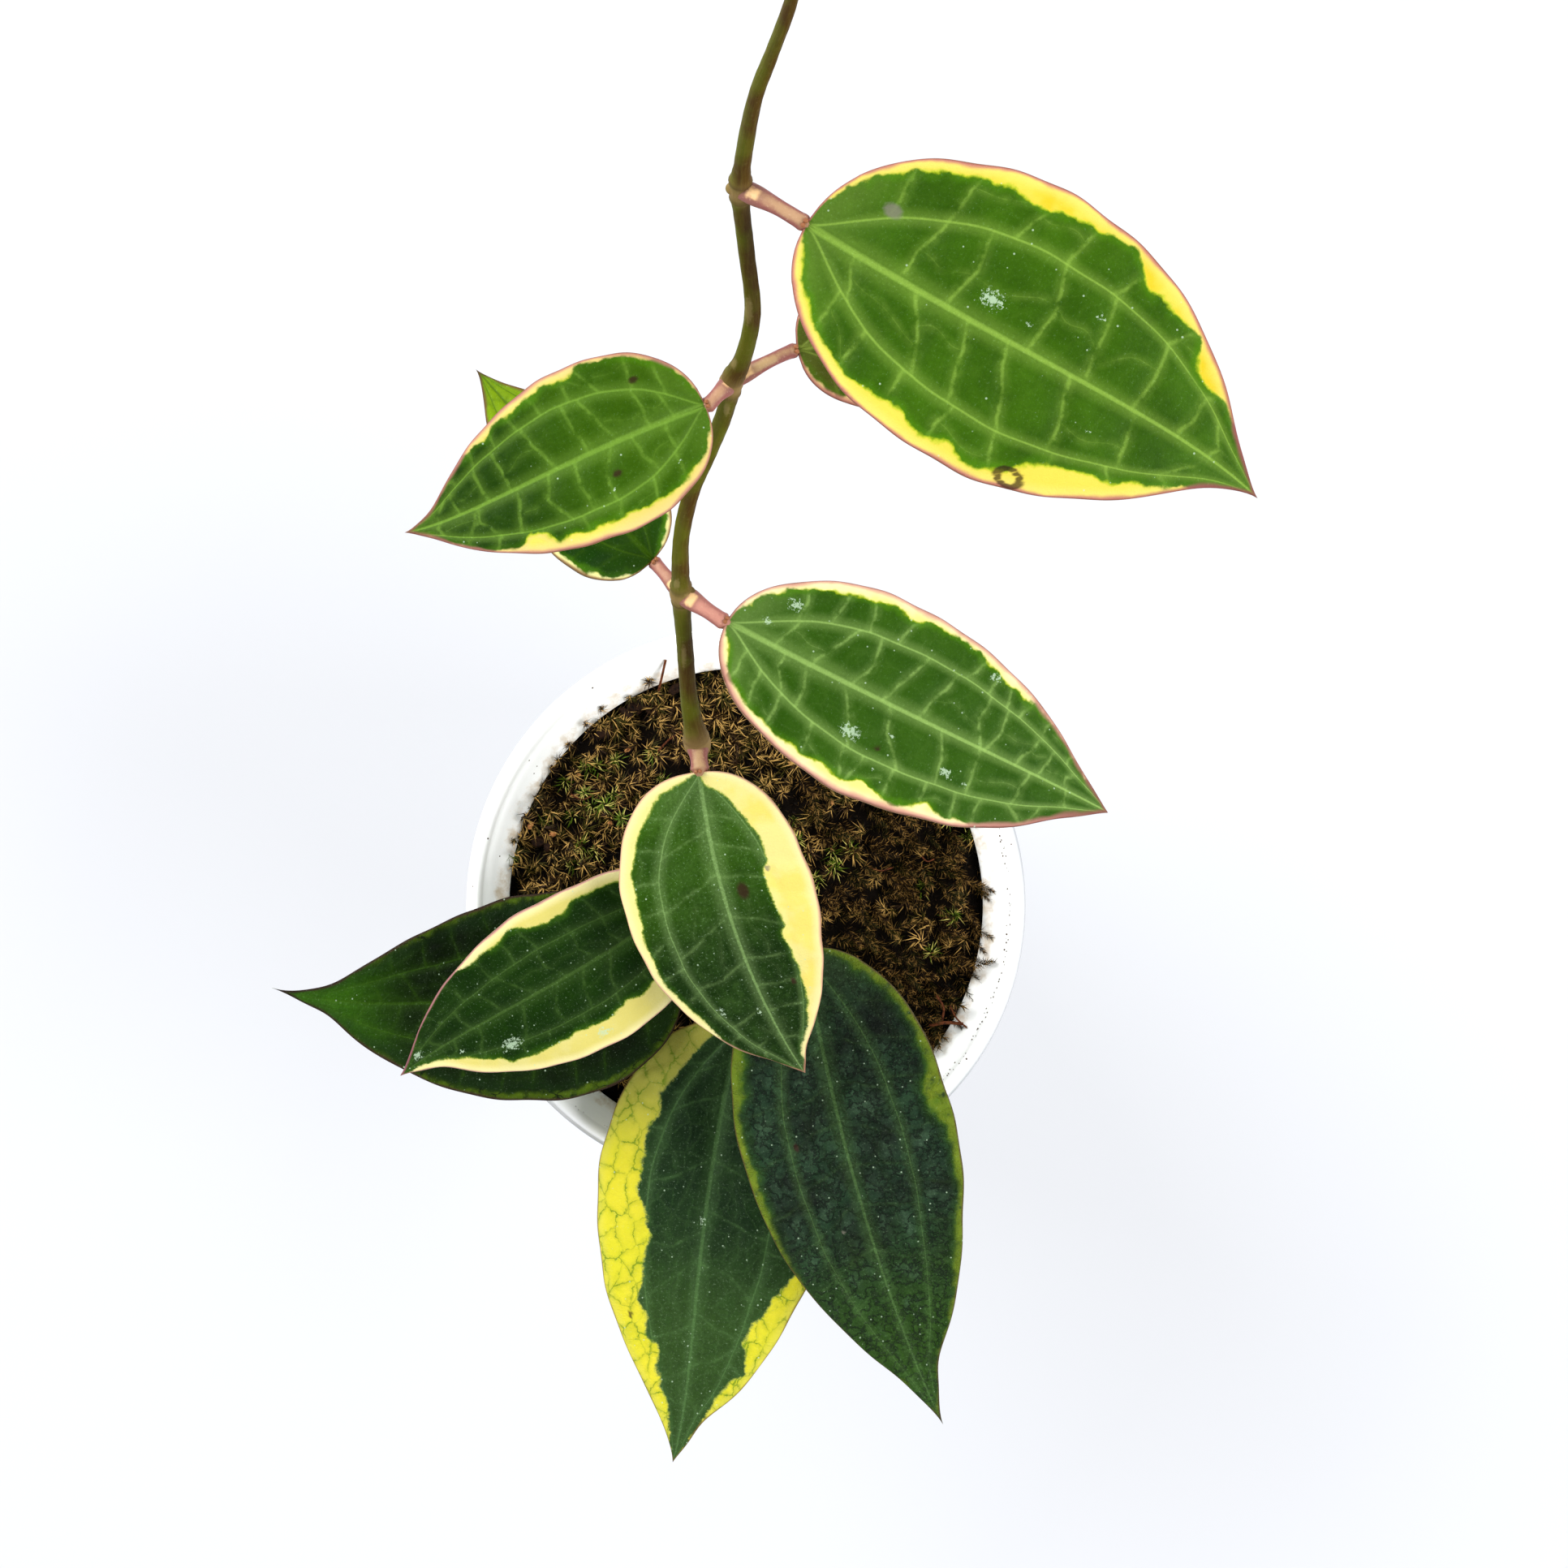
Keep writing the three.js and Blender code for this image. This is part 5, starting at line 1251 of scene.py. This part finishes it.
# What each blade has of its own. The young top ones are bright and the old low ones dark.
LOOKS = {
    "leaf_1": dict(deep="#234300", green="#325604", painted_sheen="#395d0d", painted_sheen_amount=0.25, vein="#82a440",
        main_veins=0.68, cream="#c9b844", rich="#d1a808", rich_side=1.0, rich_from=0.15, pale_rim="#d4bf62",
        lobes=0.6, edge="#a0565e", edge_mm=0.6),
    "leaf_2": dict(deep="#274800", green="#315102", painted_sheen="#35540b", painted_sheen_amount=0.25, vein="#719735",
        small_veins=0.4, main_veins=0.68, cream="#cab35c", pale_rim="#cfb678", tip="#163200",
        tip_from=0.35),
    "leaf_3": dict(deep="#222700", green="#2b2b01", painted_sheen="#333402", vein="#6b7b2e", small_veins=0.3,
        cream="#c2a070", pale_rim="#c49c78", fringe_amount=0.3, edge="#9c6258"),
    # Leaf 4's bright lime tip is painted light, where sun shines through it.
    "leaf_4": dict(deep="#0c2a00", green="#123400", painted_sheen="#1a3d00", painted_sheen_amount=0.3, vein="#355405",
        small_veins=0.3, cream="#c9b83a", edge="#73492e", edge_dark="#40241a", tip="#6f8c05", tip_from=0.5),
    "leaf_5": dict(deep="#214202", green="#2b4d07", painted_sheen="#355517", painted_sheen_amount=0.3, vein="#8dae5b",
        main_veins=0.68, cream="#dcd292", rich="#d8c968", pale_rim="#dccba0", edge="#b47c72", edge_mm=0.8,
        specks=0.4),
    "leaf_6": dict(deep="#1b3801", green="#2c4c08", painted_sheen="#3c5a24", vein="#7b9a5b", small_veins=0.22,
        main_veins=0.6, rib_mm=0.85, grain=0.3, cream="#d1c67a", rich="#d5c05a", rich_side=1.0,
        pale_rim="#d7cd95", lime="#86983c", lime_mm=0.5, fringe="#2f540a", fringe_amount=0.4, lobes=0.35,
        nibble=0.25, edge="#bd937a", edge_dark="#8f6050", edge_mm=0.35, specks=0.5, frost=0.3, rough=0.5,
        tip="#0b2200", tip_from=0.25),
    "leaf_7": dict(deep="#082000", green="#0f2a00", painted_sheen="#173301", vein="#47642b", small_veins=0.32,
        main_veins=0.55, rib_mm=1.0, grain=0.24, cream="#c5bb72", rich="#c3b75f", pale_rim="#dbd19a",
        lime="#7a8e2a", lime_mm=0.5, fringe="#2c5006", fringe_amount=0.7, lobes=0.45, nibble=0.25,
        edge="#ae7c78", edge_dark="#77404e", edge_mm=0.32, specks=0.5, frost=0.22),
    "leaf_8": dict(deep="#050f01", green="#0c1d02", painted_sheen="#0c1e01", vein="#34540f", small_veins=0.25,
        main_veins=0.5, creases=0.12, folds=0.15, grain=0.2, cream="#4c6210", rich="#4c6210",
        pale_rim="#364a08", lime="#122604", lime_mm=1.4, fringe="#10240a", fringe_amount=0.6, fringe_mm=2.2,
        border_mm=1.2, netted=0.95, net="#060e02", bare=0.4, edge="#33241a", edge_dark="#1c120e",
        edge_mm=0.5, edge_amount=1.0, specks=0.5, frost=0.15, cell_bumps=0.3, wrinkles=0.8, sheen=0.04,
        tip="#2c5604", tip_from=0.6, ruffle=0.4, cells=0.7),
    "leaf_9": dict(deep="#0a200a", green="#1a3113", painted_sheen="#243e1a", vein="#4d6e3d", small_veins=0.28,
        main_veins=0.55, cell_lines=0.1, creases=0.12, folds=0.12, grain=0.24, cream="#bfb926",
        rich="#c5bb2c", dull=0.75, pale_rim="#bfb942", lime="#8c9440", fringe="#2c4a20", fringe_amount=0.5,
        fringe_mm=0.8, lobes=0.6, nibble=0.35, border_mm=0.3, netted=0.85, edge="#8c7834",
        edge_dark="#4c3820", edge_mm=0.3, specks=0.8, frost=0.25, cell_bumps=0.2, wrinkles=0.6, sheen=0.08,
        tip="#273f16", tip_from=0.4, cells=0.9),
    "leaf_10": dict(deep="#050f07", green="#162f1b", painted_sheen="#344b35", painted_sheen_amount=0.75, vein="#50703c",
        small_veins=0.12, main_veins=0.55, rib_mm=0.8, cell_lines=0.04, creases=0.25, folds=0.8, grain=0.34,
        cream="#4a6410", rich="#6c7a1c", pale_rim="#62721a", lime="#2a4a0e", lime_mm=1.6, fringe="#22400f",
        fringe_amount=0.4, border_mm=0.8, netted=0.2, bare=0.38, edge="#574a24", edge_dark="#302116",
        edge_mm=0.3, specks=0.9, frost=0.16, cell_bumps=0.3, wrinkles=1.8, sheen=0.09, tip="#213e08",
        tip_from=0.5, quilting=1.3, ruffle=0.5, dimples=0.05, cells=1.6),
}

# The stalks are thick and smooth, rosy along the sides and olive to pink along the back, with the
# back painted lighter and the sides darker as painted light and shade from above, a painted golden
# highlight on top where they swell at the stem, and two small brown glands where the blade begins.
STALK_STEPS = 10
STALK_SIDES = 18
GLAND_RADIUS = 0.42
# The record lists the pot, the mix, the moss and the stem before the first leaf.
NODES_BEFORE_LEAVES = 4
stalk_skin, add = new_material("rosy_leaf_stalk_skin")
run, crest, olive = (add("Attribute " + field).outputs["Fac"] for field in ("stalk", "crest", "olive"))
in_mm = add("VectorMath SCALE", add("TexCoord").outputs["Object"], 1000)
grain = add("TexNoise", in_mm, 2.6, 3)
# The back and flanks: their own olive and rosy colours, with the back painted lighter and the flanks darker
# as painted light and shade from above.
back = add("Mix RGBA", olive, linear("#bb8073"), linear("#a78d62"))
flank = add("Mix RGBA", olive, linear("#985e56"), linear("#7a4640"))
uneven_crest = add("Math MULTIPLY_ADD", add("TexNoise", in_mm, 0.5, 4, 0.7), 0.5, crest)
# A painted golden highlight on top of the swelling near the stem.
highlight_away = add("Math ABSOLUTE", add("Math SUBTRACT", run, 0.24))
highlight_near = add("MapRange SMOOTHSTEP", highlight_away, 0.1, 0.04)
painted_highlight_top = add("MapRange SMOOTHSTEP", uneven_crest, 0.85, 1.1)
colour = add("Mix RGBA", add("MapRange SMOOTHSTEP", uneven_crest, 0.75, 1.2), flank, back)
for share, over in (
        (add("MapRange SMOOTHSTEP", run, 0.42, 0.26, 0.0, 0.75), "#80544a"),
        (add("Math MULTIPLY", highlight_near, painted_highlight_top), "#e6bc86"),
        (add("MapRange SMOOTHSTEP", run, 0.9, 1.0, 0.0, 0.45), "#8a5a48"),
        (add("MapRange", run, 1.7, 1.9), "#8c5838"),
        (add("MapRange", grain, 0.6, 0.75, 0.0, 0.4), "#c0a488")):
    colour = add("Mix RGBA", share, colour, linear(over))
relief = add("Bump", {"Strength": 0.25, "Distance": 0.0003, "Height": grain})
add("OutputMaterial", add("BsdfPrincipled", {
    "Base Color": colour, "Roughness": 0.45, "Specular IOR Level": 0.15, "Normal": relief}))

for number, (name, shape) in enumerate(SHAPES.items()):
    leaf = dict(zip(SHAPE_NAMES, shape), name=name)
    leaf["base"] = np.array(leaf["base"], float)
    look = {**USUAL_LOOK, **LOOKS[name]}
    leaf.update({key: look[key] for key in ("quilting", "ruffle", "dimples", "cells")})
    blade = make_blade(leaf, 100 * number)
    blade.data.materials.append(leaf_skin(name, leaf["length"], look))
    joint, thick, thin, lift, olive = STALKS[name]
    node = np.array(JOINTS[joint])
    start, further = midrib_places(leaf, np.array([0.0, 0.02]))
    up = blade_frame(leaf, np.array([0.0, 0.02]))[2]
    forward, level = blade_frame(leaf, np.array([0.0]))[:2]
    neck = start - up[0] * 0.8 - forward[0] * 0.5
    inside = further - up[1] * 1.0
    bend = node + (neck - node) * 0.55 + (0, 0, lift)
    line = smooth_line([
        (*node, thick), (*bend, (thick + thin) / 2), (*neck, thin), (*inside, 1.4)], STALK_STEPS)
    share = np.arange(len(line)) / (len(line) - 1) * 1.5
    line[:, 3] *= 1 + 0.14 * bell(share - 0.2, 0.16) - 0.08 * bell(share - 0.6, 0.2)
    line[:, 3] *= 1 + 0.1 * bell(share - 0.97, 0.06)
    stalk = swept_tube(line, STALK_SIDES, 0.92)
    stalk.data.uv_layers[0].name = "blade_mm"
    places = point_places(stalk)
    gap = np.linalg.norm(places[:, None] - line[None, :, :3], axis=2).argmin(axis=1)
    write_points(stalk, "stalk", share[gap])
    write_points(stalk, "crest", (places[:, 2] - line[gap, 2]) / (line[gap, 3] / 2))
    write_points(stalk, "olive", np.full(len(places), olive))
    parts = [stalk]
    for aside in (-0.42, 0.38):
        bpy.ops.object.select_all(action="DESELECT")
        bpy.ops.mesh.primitive_uv_sphere_add(
            segments=12, ring_count=8, radius=GLAND_RADIUS * MM,
            location=(start + up[0] * (thin / 2 - 0.75) + level[0] * aside - forward[0] * 0.1) * MM)
        gland = bpy.context.object
        apply_place(gland)
        gland.data.uv_layers[0].name = "blade_mm"
        bpy.ops.object.shade_smooth()
        write_points(gland, "stalk", np.full(len(gland.data.vertices), 2.0))
        parts.append(gland)
    for part in parts:
        part.data.materials.clear()
        part.data.materials.append(stalk_skin)
    join([blade, *parts])
    row = frame["record"]["subparts"][NODES_BEFORE_LEAVES + number]
    finish_piece(blade, name + "_blade", row["material_slot"], name)
